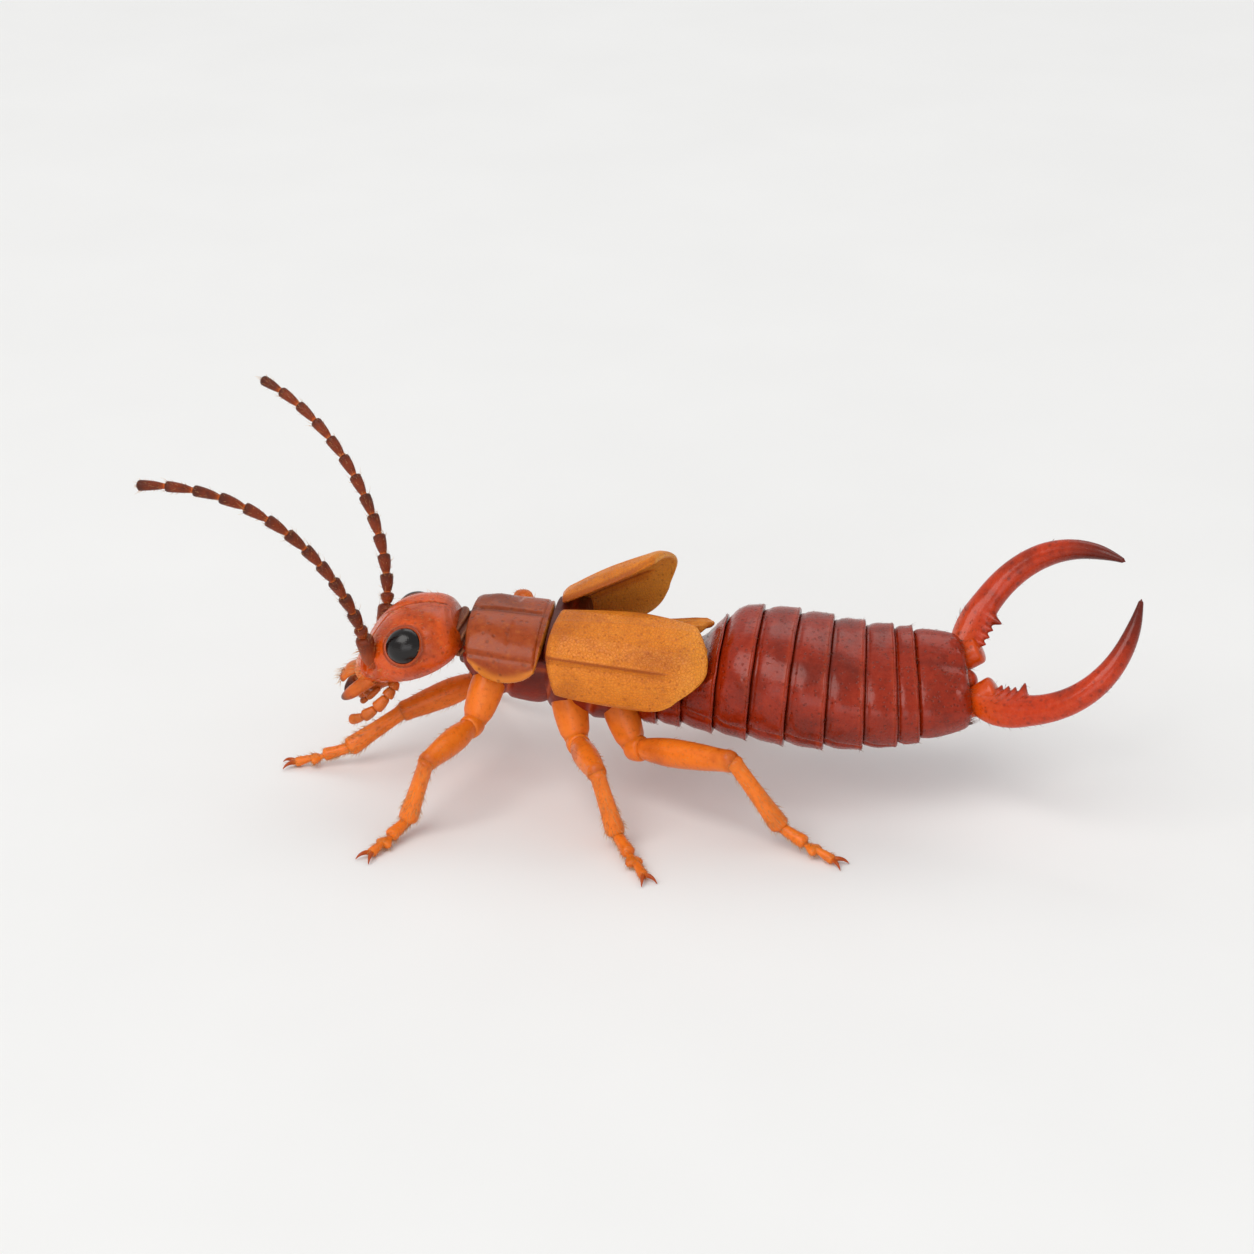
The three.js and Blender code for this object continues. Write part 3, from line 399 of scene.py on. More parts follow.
class Coat:
    def __init__(self, seed):
        self.random = np.random.default_rng(seed)
        self.points, self.uvs = [], []

    def grow(self, shell, index, count, length, radius, lean, where=None, curl=0.35, floor=None):
        grid, _, closed = shell.patches[index]
        ring = concatenate([grid, grid[:, :1]], 1) if closed else grid
        a, b, c, d = ring[:-1, :-1], ring[:-1, 1:], ring[1:, 1:], ring[1:, :-1]
        normal = cross(c - a, d - b)
        area = norm(normal, axis=-1)
        if where is not None:
            rows, cols = area.shape
            u, v = meshgrid((arange(cols) + 0.5) / cols, (arange(rows) + 0.5) / rows)
            area = area * clip(where(u, v), 0, None)
        pick = self.random.choice(area.size, size=count, p=(area / area.sum()).ravel())
        i, j = np.unravel_index(pick, area.shape)
        x, y = self.random.random((2, count))
        weight = lambda v: v[:, None]
        root = (weight((1 - x) * (1 - y)) * a[i, j] + weight(x * (1 - y)) * b[i, j]
                + weight(x * y) * c[i, j] + weight((1 - x) * y) * d[i, j])
        face = unit(normal[i, j])
        if closed:
            face *= np.sign(np.einsum("ij,ij->i", face, root - grid.mean(1)[i]))[:, None]
        flow = unit(d[i, j] + c[i, j] - a[i, j] - b[i, j])
        tilt = lean * (1 + HAIR_SPREAD * self.random.standard_normal(count))
        twist = HAIR_TWIST * self.random.standard_normal((count, 1)) * cross(face, flow)
        ahead = unit(face + flow * weight(tilt) + twist)
        long = weight(length * (1 + HAIR_SPREAD * self.random.standard_normal(count)).clip(0.45, 1.7))
        side = unit(cross(ahead, face + 0.01 * flow))
        other = cross(ahead, side)
        rows = []
        for t in (*HAIR_SHARES, 1.0):
            centre = root - face * HAIR_ROOT + long * (ahead * t + flow * curl * t * t)
            wide = radius * (1 - t) ** 0.7
            turned = [centre + wide * (side * cos(p) + other * sin(p)) for p in around(3)]
            rows += turned if t < 1 else [centre]
        made = stack(rows, 1)
        if floor is not None:
            made[..., 2] = maximum(made[..., 2], floor)
        self.points.append(made)
        self.uvs.append(shell.tile(index, stack([(j + x) / area.shape[1], (i + y) / area.shape[0]], 1)))

    def build(self, name, slot):
        points, spots = concatenate(self.points), concatenate(self.uvs)
        count, each = points.shape[:2]
        top = len(HAIR_SHARES) - 1
        quads, quad_places = [], []
        for r in range(top):
            for k in range(3):
                n = (k + 1) % 3
                quads.append([3 * r + k, 3 * r + n, 3 * r + 3 + n, 3 * r + 3 + k])
                quad_places.append([[k, r], [k + 1, r], [k + 1, r + 1], [k, r + 1]])
        tris = [[3 * top + k, 3 * top + (k + 1) % 3, each - 1] for k in range(3)] + [[2, 1, 0]]
        tri_places = [[[k, top], [k + 1, top], [k + 0.5, top + 1]] for k in range(3)]
        tri_places += [[[0, 0], [1, 0], [0, 1]]]
        start = (arange(count) * each)[:, None, None]
        loops = concatenate([(start + array(faces)).ravel() for faces in (quads, tris)])
        sizes = np.repeat([4, 3], [count * len(quads), count * len(tris)])
        uvs = concatenate([(spots[:, None, None] + array(places) * HAIR_TILE).reshape(-1, 2)
                           for places in (quad_places, tri_places)])
        tones = np.tile(np.repeat([*HAIR_SHARES, 1.0], [3] * len(HAIR_SHARES) + [1]), count)
        hair = DARK_HAIR if slot in DARK_HAIRED else PALE_HAIR
        make_mesh(name, slot, [], hair, points.reshape(-1, 3), loops, sizes, uvs, tones)


# Materials: noise, pits and fine relief in millimetres, on the shader's own sockets.
def srgb(*values):
    linear = lambda v: v / 12.92 if v <= 0.04045 else ((v + 0.055) / 1.055) ** 2.4
    return (*(linear(v / 255) for v in values), 1.0)


class Finish:
    def __init__(self, name, **sockets):
        self.material = bpy.data.materials.new(name)
        self.material.use_nodes = True
        self.tree = self.material.node_tree
        self.tree.nodes.clear()
        self.shader = self.node("BsdfPrincipled", sockets)
        self.node("OutputMaterial", {"Surface": self.shader.outputs[0]})
        inputs = {0: self.node("TexCoord").outputs["Object"], 1: (1 / MM,) * 3}
        self.place = self.node("VectorMath", inputs, operation="MULTIPLY").outputs[0]
        self.tone = self.node("Attribute", attribute_name="tone").outputs["Fac"]

    def node(self, kind, inputs=None, **settings):
        made = self.tree.nodes.new("ShaderNode" + kind)
        for key, value in settings.items():
            setattr(made, key, value)
        for key, value in (inputs or {}).items():
            if isinstance(value, bpy.types.NodeSocket):
                self.tree.links.new(value, made.inputs[key])
            else:
                made.inputs[key].default_value = value
        return made

    def noise(self, scale, detail=3.0, rough=0.55, warp=0.0):
        inputs = {"Vector": self.place, "Scale": scale, "Detail": detail, "Roughness": rough,
                  "Distortion": warp}
        return self.node("TexNoise", inputs).outputs["Fac"]

    def cells(self, scale, feature="F1"):
        inputs = {"Vector": self.place, "Scale": scale}
        return self.node("TexVoronoi", inputs, feature=feature).outputs["Distance"]

    def math(self, operation, a, b):
        return self.node("Math", {0: a, 1: b}, operation=operation).outputs[0]

    def times(self, a, b):
        return self.math("MULTIPLY", a, b)

    def ramp(self, value, low, high, start=0.0, end=1.0):
        inputs = {"Value": value, "From Min": low, "From Max": high, "To Min": start, "To Max": end}
        return self.node("MapRange", inputs, interpolation_type="SMOOTHSTEP").outputs[0]

    def blend(self, factor, a, b):
        return self.node("Mix", {0: factor, 6: a, 7: b}, data_type="RGBA").outputs[2]

    def bump(self, height, depth, strength):
        return self.node("Bump", {"Height": height, "Distance": depth * MM, "Strength": strength}).outputs[0]

    def wire(self, **links):
        for key, value in links.items():
            self.tree.links.new(value, self.shader.inputs[key.replace("_", " ")])
        return self.material


def cuticle(name, base, dark, pale, rough=0.28, coat=0.16, speckle=6.0, pits=None, leather=None, glow=0.12):
    """Chitin: mottled colour, darker and paler by tone, with pits or a leathery net and a fine unevenness."""
    f = Finish(name, **{
        "Coat Weight": coat, "Coat Roughness": 0.12, "IOR": 1.5, "Specular IOR Level": 0.24,
        "Subsurface Weight": glow, "Subsurface Scale": 0.00022, "Subsurface Radius": (1.0, 0.42, 0.18)})
    base, dark, pale = (srgb(*c) for c in (base, dark, pale))
    broad = f.noise(0.8, 3.0, 0.5, 0.4)
    fine = f.noise(speckle, 5.0, 0.62)
    colour = f.blend(f.times(f.ramp(broad, 0.46, 0.72), 0.55), base, dark)
    colour = f.blend(f.times(f.ramp(fine, 0.5, 0.78), 0.25), colour, pale)
    colour = f.blend(f.times(f.ramp(fine, 0.5, 0.26), 0.4), colour, dark)
    colour = f.blend(f.ramp(f.tone, 0.0, 1.0), colour, pale)
    colour = f.blend(f.ramp(f.tone, 0.0, -1.0), colour, dark)
    height = f.math("ADD", f.times(f.noise(3.2, 4.0, 0.6), 0.9), f.times(f.noise(26.0, 3.0, 0.6), 0.16))
    if pits:
        scale, depth = pits
        hole = f.ramp(f.cells(scale), 0.1, 0.32, 1.0, 0.0)
        height = f.math("SUBTRACT", height, f.times(hole, depth))
        # The pits are painted darker as well as sunk: painted shade in the pits.
        colour = f.blend(f.times(hole, 0.45), colour, dark)
    if leather:
        scale, depth = leather
        net = f.ramp(f.cells(scale, "DISTANCE_TO_EDGE"), 0.0, 0.16)
        height = f.math("ADD", height, f.times(net, depth))
        # The net's grooves are painted darker: painted shade in the grooves.
        colour = f.blend(f.times(f.math("SUBTRACT", 1.0, net), 0.22), colour, dark)
    roughness = f.ramp(fine, 0.25, 0.75, rough - 0.07, rough + 0.1)
    return f.wire(Base_Color=colour, Roughness=roughness, Normal=f.bump(height, 0.03, 0.7))


def eye_finish():
    f = Finish("eye_lenses", **{
        "Coat Weight": 0.35, "Coat Roughness": 0.04, "IOR": 1.5, "Specular IOR Level": 0.25})
    colour = f.blend(f.ramp(f.noise(1.6, 2.0), 0.4, 0.7), srgb(7, 6, 6), srgb(18, 11, 9))
    colour = f.blend(f.ramp(f.tone, 0.0, 1.0), colour, srgb(92, 42, 20))
    roughness = f.ramp(f.noise(9.0), 0.3, 0.7, 0.1, 0.18)
    return f.wire(Base_Color=colour, Roughness=roughness, Normal=f.bump(f.noise(40.0, 2.0), 0.01, 0.2))


def membrane_finish():
    f = Finish("joint_skin", **{
        "IOR": 1.42, "Subsurface Weight": 0.4, "Subsurface Scale": 0.0003,
        "Subsurface Radius": (1.0, 0.5, 0.25)})
    folds = f.noise(11.0, 5.0, 0.65, 0.8)
    # The skin is painted paler on the folds' crests and darker in their troughs: painted shade in the
    # creases.
    colour = f.blend(f.ramp(folds, 0.35, 0.7), srgb(176, 108, 62), srgb(222, 168, 118))
    colour = f.blend(f.ramp(f.tone, 0.0, -1.0), colour, srgb(92, 38, 16))
    roughness = f.ramp(folds, 0.3, 0.7, 0.42, 0.6)
    return f.wire(Base_Color=colour, Roughness=roughness, Normal=f.bump(folds, 0.04, 0.8))


def hair_finish(name, root, tip):
    f = Finish(name, IOR=1.5)
    colour = f.blend(f.ramp(f.tone, 0.0, 1.0), srgb(*root), srgb(*tip))
    colour = f.blend(f.times(f.ramp(f.noise(5.0), 0.4, 0.7), 0.5), colour, srgb(*root))
    return f.wire(Base_Color=colour, Roughness=f.ramp(f.noise(20.0), 0.3, 0.7, 0.32, 0.5))


# Each material slot's finish. A cuticle has its own colour, the dark and the pale that it varies to.
SKINS = {
    "head": cuticle("head_cuticle", (208, 79, 14), (126, 44, 8), (228, 122, 34), pits=(5.5, 0.4), coat=0.22),
    "pronotum": cuticle(
        "pronotum_cuticle", (154, 61, 8), (90, 33, 6), (212, 124, 40), pits=(5.0, 0.4), rough=0.34),
    "thorax": cuticle("thorax_cuticle", (142, 36, 10), (76, 19, 7), (196, 84, 28), rough=0.38, coat=0.05),
    "tegmen": cuticle(
        "tegmen_leather", (222, 128, 33), (160, 76, 15), (234, 158, 58), leather=(13.0, 0.5),
        pits=(7.0, 0.35), rough=0.4, coat=0.05),
    "wing": cuticle(
        "wing_leather", (212, 122, 34), (138, 68, 16), (230, 162, 68), leather=(17.0, 0.35), rough=0.44,
        coat=0.03, glow=0.15),
    "abdomen": cuticle(
        "abdomen_cuticle", (144, 35, 5), (80, 18, 4), (182, 60, 12), pits=(7.5, 0.6), rough=0.26, coat=0.22,
        glow=0.05),
    "forceps": cuticle(
        "forceps_cuticle", (186, 51, 7), (88, 21, 5), (218, 84, 14), pits=(4.5, 0.25), rough=0.24, coat=0.25,
        glow=0.08),
    "leg": cuticle(
        "leg_cuticle", (234, 118, 29), (164, 68, 12), (240, 152, 56), rough=0.34, coat=0.1, glow=0.2,
        speckle=8.0),
    "feeler": cuticle(
        "feeler_cuticle", (132, 50, 13), (54, 20, 8), (214, 96, 32), rough=0.38, coat=0.08,
        leather=(24.0, 0.4)),
    "mouth": cuticle(
        "mouth_cuticle", (200, 90, 22), (76, 27, 8), (226, 134, 50), rough=0.34, coat=0.1, glow=0.15),
    "eye": eye_finish(),
    "membrane": membrane_finish(),
}
PALE_HAIR = hair_finish("pale_hair", (172, 104, 46), (232, 188, 120))
DARK_HAIR = hair_finish("dark_hair", (84, 34, 14), (148, 76, 34))
DARK_HAIRED = ("abdomen", "forceps")


# The stage: camera at the picture's angle, pale floor and soft lights, set round the target.
TARGET = (-0.465, -0.105, 4.43)
CAMERA = {"azimuth": 8, "elevation": 26, "distance": 85}
FOCAL_LENGTH, SENSOR_WIDTH = 100, 36
# Each light's azimuth, elevation, distance, width, height, watts and colour.
LIGHTS = {
    "key": (-32, 52, 420, 315, 315, 0.98, (1.0, 0.98, 0.95)),
    "fill": (4, 10, 455, 385, 200, 0.36, (0.98, 0.98, 1.0)),
    "back": (165, 48, 420, 420, 175, 0.3, (1.0, 0.99, 0.97)),
}
SKY_COLOUR, SKY_STRENGTH = (0.94, 0.95, 0.96, 1), 0.6
FLOOR_HALF_SIZE = 1500
FLOOR_COLOURS = (0.82, 0.82, 0.815, 1), (0.86, 0.86, 0.855, 1)


def aim(name, data, azimuth, elevation, distance):
    a, e = radians(azimuth), radians(elevation)
    away = Vector((sin(a) * cos(e), -cos(a) * cos(e), sin(e)))
    made = link(name, data)
    made.location = (Vector(TARGET) + away * distance) * MM
    made.rotation_mode = "QUATERNION"
    made.rotation_quaternion = (-away).to_track_quat("-Z", "Y")
    return made


def set_stage():
    scene = bpy.context.scene
    lens = bpy.data.cameras.new("camera")
    lens.lens, lens.sensor_width = FOCAL_LENGTH, SENSOR_WIDTH
    lens.clip_start, lens.clip_end = 0.001, 5
    scene.camera = aim("camera", lens, **CAMERA)
    for name, (azimuth, elevation, distance, width, height, watts, colour) in LIGHTS.items():
        light = bpy.data.lights.new(name, "AREA")
        light.shape = "RECTANGLE"
        light.size, light.size_y = width * MM, height * MM
        light.energy = watts
        light.color = colour
        aim(name, light, azimuth, elevation, distance)
    world = bpy.data.worlds.new("studio")
    world.use_nodes = True
    sky = world.node_tree.nodes["Background"].inputs
    sky["Color"].default_value = SKY_COLOUR
    sky["Strength"].default_value = SKY_STRENGTH
    scene.world = world
    scene.view_settings.view_transform = "Standard"
    sheet = bpy.data.meshes.new("floor")
    work = bmesh.new()
    bmesh.ops.create_grid(work, x_segments=8, y_segments=8, size=FLOOR_HALF_SIZE * MM)
    work.to_mesh(sheet)
    work.free()
    f = Finish("pale_floor", IOR=1.4)
    colour = f.blend(f.noise(0.15, 2.0), *FLOOR_COLOURS)
    sheet.materials.append(f.wire(Base_Color=colour, Roughness=f.ramp(f.noise(0.8), 0.3, 0.7, 0.75, 0.85)))
    floor = link("floor", sheet)


# Head capsule: a Y-shaped suture, brows over the feelers' sockets, rims round the eyes.
HEAD_GROOVES = [[(0.1, 0.0), (1.32, 0.0)], [(1.32, 0.0), (2.1, 0.52)], [(1.32, 0.0), (2.1, -0.52)]]
BROW = {"along": 0.76, "long": 0.34, "side": 0.62, "up": 0.04, "wide": 0.36, "tall": 0.32, "blend": 0.08}


def near_lines(x, y, lines, width):
    best = 0
    for (x0, y0), (x1, y1) in lines:
        dx, dy = x1 - x0, y1 - y0
        t = clip(((x - x0) * dx + (y - y0) * dy) / (dx * dx + dy * dy), 0, 1)
        best = maximum(best, bell(np.hypot(x - x0 - t * dx, y - y0 - t * dy), 0, width))
    return best


EYE_HALF_SIZES = vec(EYE["tall"], EYE["deep"], EYE["length"])


def eye_axes(side):
    outward = unit(HEAD_SIDE * side + HEAD_UP * 0.25)
    over = unit(cross(HEAD_AHEAD, outward))
    centre = in_head(EYE["along"], side * EYE["side"], EYE["height"])
    return centre, stack([over, outward, cross(outward, over)])


def eye_reach(points, side):
    """How far points lie from the eye's centre, as a share of the eye's own half sizes."""
    centre, axes = eye_axes(side)
    return norm((points - centre) @ axes.T / EYE_HALF_SIZES, axis=-1)


def brow_reach(x, angle, side):
    """Distance from the head's axis to the far side of the brow over a feeler's root."""
    swell = sqrt(clip(1 - ((x - BROW["along"] * HEAD_LENGTH) / BROW["long"]) ** 2, 1e-6, 1))
    a, b = BROW["wide"] * swell, BROW["tall"] * swell
    c, s = cos(angle), sin(angle)
    y, z = BROW["side"] * side, BROW["up"]
    k2 = (c / a) ** 2 + (s / b) ** 2
    k1 = c * y / a ** 2 + s * z / b ** 2
    k0 = (y / a) ** 2 + (z / b) ** 2 - 1
    inside = k1 ** 2 - k2 * k0
    return np.where(inside > 0, (k1 + sqrt(clip(inside, 0, None))) / k2, 0)


def head_points(rows=150, sides=216):
    t, angle = lattice((1 - cos(pi * (arange(rows) + 0.6) / (rows + 0.2))) / 2, around(sides))
    wide, high, low = (along(table, t) for table in (HEAD_HALF_WIDTH, HEAD_TOP, HEAD_BOTTOM))
    tall = np.where(sin(angle) > 0, high, low)
    p = SECTION_POWER
    reach = (abs(cos(angle) / wide) ** p + abs(sin(angle) / tall) ** p) ** (-1 / p)
    x = t * HEAD_LENGTH
    for side in (-1, 1):
        brow = brow_reach(x, angle, side)
        h = clip(0.5 + 0.5 * (brow - reach) / BROW["blend"], 0, 1)
        reach = mix(reach, brow, h) + BROW["blend"] * h * (1 - h)
    y = reach * cos(angle)
    top = smooth(sin(angle), 0.1, 0.45)
    groove = near_lines(x, y, HEAD_GROOVES, 0.035) * top
    clypeus = bell(x, 2.5, 0.035) * smooth(abs(y), 0.55, 0.45) * top
    cheek = bell(x - 0.35 * sin(angle), 1.95, 0.04) * bell(sin(angle), -0.35, 0.3)
    brows = 0.04 * bell(x, 0.75, 0.5) * bell(abs(y), 0.45, 0.32) * top
    face = 0.05 * bell(x, 2.05, 0.3) * bell(y, 0, 0.28) * top
    out = -0.04 * groove - 0.03 * clypeus - 0.02 * cheek + brows - face + 0.03 * bell(x, 0.1, 0.05)
    base = in_head(t, y, reach * sin(angle))
    tone = (-0.75 * groove - 0.5 * clypeus + 0.55 * smooth(x, 2.5, 2.8) - 0.5 * smooth(x, 0.35, 0.0)
            - 0.4 * cheek)
    for side in (-1, 1):
        eye = eye_reach(base, side)
        out = out + 0.045 * bell(eye, 1.1, 0.06) - 0.1 * smooth(eye, 0.98, 0.8)
        tone = tone - 0.75 * bell(eye, 1.1, 0.09)
        root = norm(base - head_path(side, ANTENNA_ROOT)[0], axis=-1)
        out = out + 0.05 * bell(root, 0.33, 0.05) - 0.16 * smooth(root, 0.28, 0.14)
        tone = tone - 0.5 * bell(root, 0.3, 0.08)
    reach = reach + out
    return in_head(t, reach * cos(angle), reach * sin(angle)), tone


def make_head():
    shell, coat = Shell(), Coat(11)
    skin = shell.add(*head_points())
    shell.build("head_capsule", "head", "head")
    coat.grow(shell, skin, 260, 0.11, 0.0055, 0.9, past(0.06, 0.2))
    coat.grow(shell, skin, 60, 0.2, 0.007, 0.7, past(0.72, 0.86))
    coat.build("head_hairs", "head")


LENSES = 1300
LENS_SWELL = 0.008


def make_eye(side, word):
    centre, axes = eye_axes(side)
    polar, turn = lattice(linspace(0.012, pi * 0.62, 96), around(216))
    place = stack([sin(polar) * cos(turn), cos(polar), sin(polar) * sin(turn)], -1)
    k = arange(LENSES) + 0.5
    height = 1 - 2 * k / LENSES
    golden = pi * (1 + sqrt(5)) * k
    width = sqrt(1 - height ** 2)
    lens = stack([width * cos(golden), height, width * sin(golden)], 1)
    nearest = stack([(2 - 2 * rows @ lens.T).min(-1) for rows in place])
    bump = 1 - nearest / (4.2 / LENSES * 1.6)
    swell = 1 + LENS_SWELL * clip(bump, -0.4, 1)
    shell = Shell()
    shell.add(centre + (place * swell[..., None] * EYE_HALF_SIZES) @ axes, smooth(polar, 1.25, 1.6) * 0.9)
    shell.build(f"eye_lenses_{word}", "eye", f"eye_{word}")


# Feelers: fourteen joints, each narrow at its base and swollen towards its end.
SCAPE_FORM = [[0, 0.5], [0.07, 0.62], [0.3, 0.86], [0.75, 1.0], [0.93, 0.93], [1, 0.52]]
PEDICEL_FORM = [[0, 0.6], [0.4, 0.92], [0.8, 1.0], [1, 0.55]]
BEAD_FORM = [[0, 0.5], [0.07, 0.6], [0.35, 0.84], [0.72, 1.0], [0.92, 0.95], [1, 0.52]]


def antenna_stops():
    shares = [2.6, 0.8] + [mix(1.3, 1.95, i / ANTENNA_JOINTS) for i in range(2, ANTENNA_JOINTS)]
    return concatenate([[0], cumsum(shares)]) / sum(shares)


def make_antenna(side, word):
    root = head_path(side, ANTENNA_ROOT)[0]
    curve = bezier([root] + [root + vec(*p) for p in (ANTENNA_LEFT if side < 0 else ANTENNA_RIGHT)])
    stops = antenna_stops()
    shell, coat = Shell(), Coat(23 + side)
    shell.add(joint(root - HEAD_AHEAD * 0.2, curve(0.02), [[0, 0.9], [1, 1]], 0.21, HEAD_AHEAD), 0.45)
    for i in range(ANTENNA_JOINTS):
        form = (SCAPE_FORM, PEDICEL_FORM, BEAD_FORM)[min(i, 2)]
        size = (0.225, 0.165, mix(0.172, 0.125, i / ANTENNA_JOINTS))[min(i, 2)]
        t = rounded(40 if i == 0 else 24)
        span = mix(stops[i], min(1.0, stops[i + 1] + 0.002), t)
        sizes = swell(form, t, size, 16)
        tone = 0.55 * bell(t, 0, 0.14) - 0.6 * smooth(t, 0.45, 0.95) + (0.35 if i < 2 else 0.0)
        patch = shell.add(tube(curve(span), sizes, sizes, vec(0, 1, 0), 28), tone)
        if i:
            neck = np.full(9, 0.55 * size)
            shell.add(tube(curve(stops[i] + linspace(-0.004, 0.004, 9)), neck, neck, vec(0, 1, 0), 20), 0.8)
        coat.grow(shell, patch, 34 if i else 60, 0.085, 0.0045, 0.8, past(0.1, 0.3))
        coat.grow(shell, patch, 7, 0.16, 0.006, 0.6, past(0.7, 0.85))
    shell.build(f"antenna_joints_{word}", "feeler", f"antenna_{word}")
    coat.build(f"antenna_hairs_{word}", "feeler")


# Mouthparts and neck.
PALP_FORM = [[0, 0.55], [0.12, 0.75], [0.7, 1.0], [0.93, 0.92], [1, 0.5]]
PALP_JOINTS = (0, 0.13, 0.15), (0.12, 0.28, 0.15), (0.27, 0.53, 0.155), (0.52, 0.76, 0.15), (0.75, 1.0, 0.13)


def make_labrum():
    def face(lift):
        def at(u, v):
            x, y = u * sqrt(1 - 0.3 * v * v), v * sqrt(1 - 0.3 * u * u)
            forward = 0.5 * (1 + y)
            t = 1 + (-0.06 + 0.6 * forward - 0.06 * bell(x, 0, 0.3) * smooth(y, 0.5, 1)) / HEAD_LENGTH
            return in_head(t, 0.36 * x, 0.22 - 0.1 * forward - 0.08 * x * x + 0.05 * bell(y, 0, 0.5) - lift)
        return at
    shell, coat = Shell(), Coat(31)
    skin = shell.plate(face(0), face(0.12), 60, 44, (0.14, 0.16), lambda u, v: 0.35 - 0.9 * smooth(v, 0.6, 1))
    shell.build("labrum_plate", "mouth", "labrum", weld=True)
    coat.grow(shell, skin, 46, 0.17, 0.006, 1.2, past(0.45, 0.9))
    coat.build("labrum_hairs", "mouth")


def make_jaws(side, word):
    t = rounded(70)
    wide = along([[0, 1], [0.3, 1.0], [0.6, 0.85], [0.85, 0.5], [1, 0.16]], t) * 0.22
    teeth = 0.045 * (bell(t, 0.68, 0.03) + bell(t, 0.82, 0.03))
    inner = clip(-cos(around(36)) * side, 0, 1) ** 4
    path = bezier(head_path(side, *MANDIBLE_PATH))(t)
    shell = Shell()
    shell.add(tube(path, wide[:, None] + teeth[:, None] * inner, wide * 0.8, HEAD_UP, 36),
              0.2 - 1.2 * smooth(t, 0.45, 0.9))
    shell.build(f"mandible_{word}_jaw", "mouth", f"mandible_{word}")

    curve = bezier(head_path(side, *PALP_PATH))
    t = rounded(30)
    shell, coat = Shell(), Coat(41 + side)
    for a, b, size in PALP_JOINTS:
        sizes = swell(PALP_FORM, t, size, 12)
        patch = shell.add(tube(curve(mix(a, b, t)), sizes, sizes, HEAD_UP, 28), 0.3 - 0.6 * bell(t, 1, 0.12))
        coat.grow(shell, patch, 26, 0.1, 0.005, 0.8)
    shell.build(f"palp_{word}_joints", "mouth", f"palp_{word}")
    coat.build(f"palp_{word}_hairs", "mouth")


def make_labium():
    shell = Shell()
    form = [[0, 0.9], [0.5, 1], [0.7, 0.82], [1, 0.7]]
    ends = head_path(1, (0.6, 0, -0.54), (1.05, 0, -0.5))
    shell.add(notched(*ends, form, 0.29, 0.2, (0.35, 0.16, 0.9), HEAD_UP, 50), 0.1)
    for side in (-1, 1):
        a, b, c = head_path(side, (0.92, 0.2, -0.62), (1.06, 0.3, -0.7), (1.13, 0.2, -0.74))
        for start, end, size in ((a, b, 0.085), (b, c, 0.08)):
            form = [[0, 0.7], [0.7, 1], [1, 0.7]]
            shell.add(joint(start, end, form, size, HEAD_UP, rows=24, sides=24), 0.35)
    shell.build("labium_plate", "mouth", "labium")


def make_neck():
    t, angle = linspace(0, 1, 110), around(96)
    points = line(in_head(0.08, 0, -0.02), in_trunk(0.42, 0, -0.2), t)
    folds = 0.03 * sin(2 * pi * (4 * t[:, None] + 0.12 * sin(3 * angle))) * dome(t, 6)[:, None]
    radius = 0.54 + folds + 0.08 * smooth(t, 0.5, 1)[:, None]
    shell = Shell()
    # The skin is painted dark all over and darkest in the fold troughs: painted shade under the head and
    # shield and in the creases.
    shell.add(tube(points, radius * 1.12, radius, vec(0, 0, 1), 96), clip(-0.85 + 8 * folds, -1, -0.4))
    shell.build("neck_folds", "membrane", "neck")


# Thorax: the shield, the two rings under it, the wing covers and the folded wings.
def saddle(spec, sizes, start_angle, end_angle, stand, side=1, apart=0.0):
    """A face that follows the trunk's section between two angles, with the part's rounded corners."""
    def at(u, v):
        corner = np.where(v > 0, spec["rear"], spec["front"]) * np.where(u < 0, spec["inner"], 1)
        x, y = u * sqrt(1 - corner * v * v), v * sqrt(1 - corner * u * u)
        share = 0.5 + 0.5 * y
        angle = radians(mix(start_angle, end_angle, 0.5 + 0.5 * x))
        lift = stand(x, y)
        wide, high = section(angle, *(along(table, share) + lift for table in sizes), spec["low"] + lift)
        return in_trunk(spec["start"] + spec["length"] * share, side * (wide + apart), high)
    return at


def make_pronotum():
    def face(depth):
        def stand(u, y):
            x = abs(u)
            rim = 0.06 * maximum(0, x - 0.75) / 0.25
            relief = (-0.05 * bell(u, 0, 0.02) * smooth(abs(y), 0.9, 0.7)
                      + 0.06 * bell(x, 0.26, 0.17) * bell(y, -0.42, 0.3)
                      - 0.05 * bell(np.hypot((x - 0.3) / 0.15, (y - 0.12) / 0.07), 0, 0.8)
                      - 0.04 * bell(x, 0.7, 0.04) - 0.035 * bell(y, 0.84, 0.04) * smooth(x, 0.85, 0.7))
            hem = 0.05 * smooth(maximum(x, abs(y)), 0.8, 1.0)
            return rim + relief * (depth == 0) - hem - depth * (1 - 0.5 * smooth(x, 0.5, 0.95))
        return saddle(PRONOTUM, PRONOTUM_SIZES, 180 + PRONOTUM["wrap"], -PRONOTUM["wrap"], stand)

    def tone(u, v):
        flange = maximum(smooth(abs(u), 0.84, 0.97), 0.85 * smooth(v, 0.9, 0.99))
        return 0.95 * flange - 0.5 * bell(u, 0, 0.04) - 0.35 * bell(v, -0.95, 0.1)

    shell, coat = Shell(), Coat(53)
    skin = shell.plate(face(0), face(0.3), 220, 140, (0.05, 0.06), tone)
    shell.build("pronotum_shield", "pronotum", "pronotum", weld=True)
    coat.grow(shell, skin, 120, 0.12, 0.005, 1.4, lambda u, v: smooth(abs(u - 0.5), 0.42, 0.48))
    coat.grow(shell, skin, 90, 0.07, 0.0045, 1.4)
    coat.build("pronotum_hairs", "pronotum")


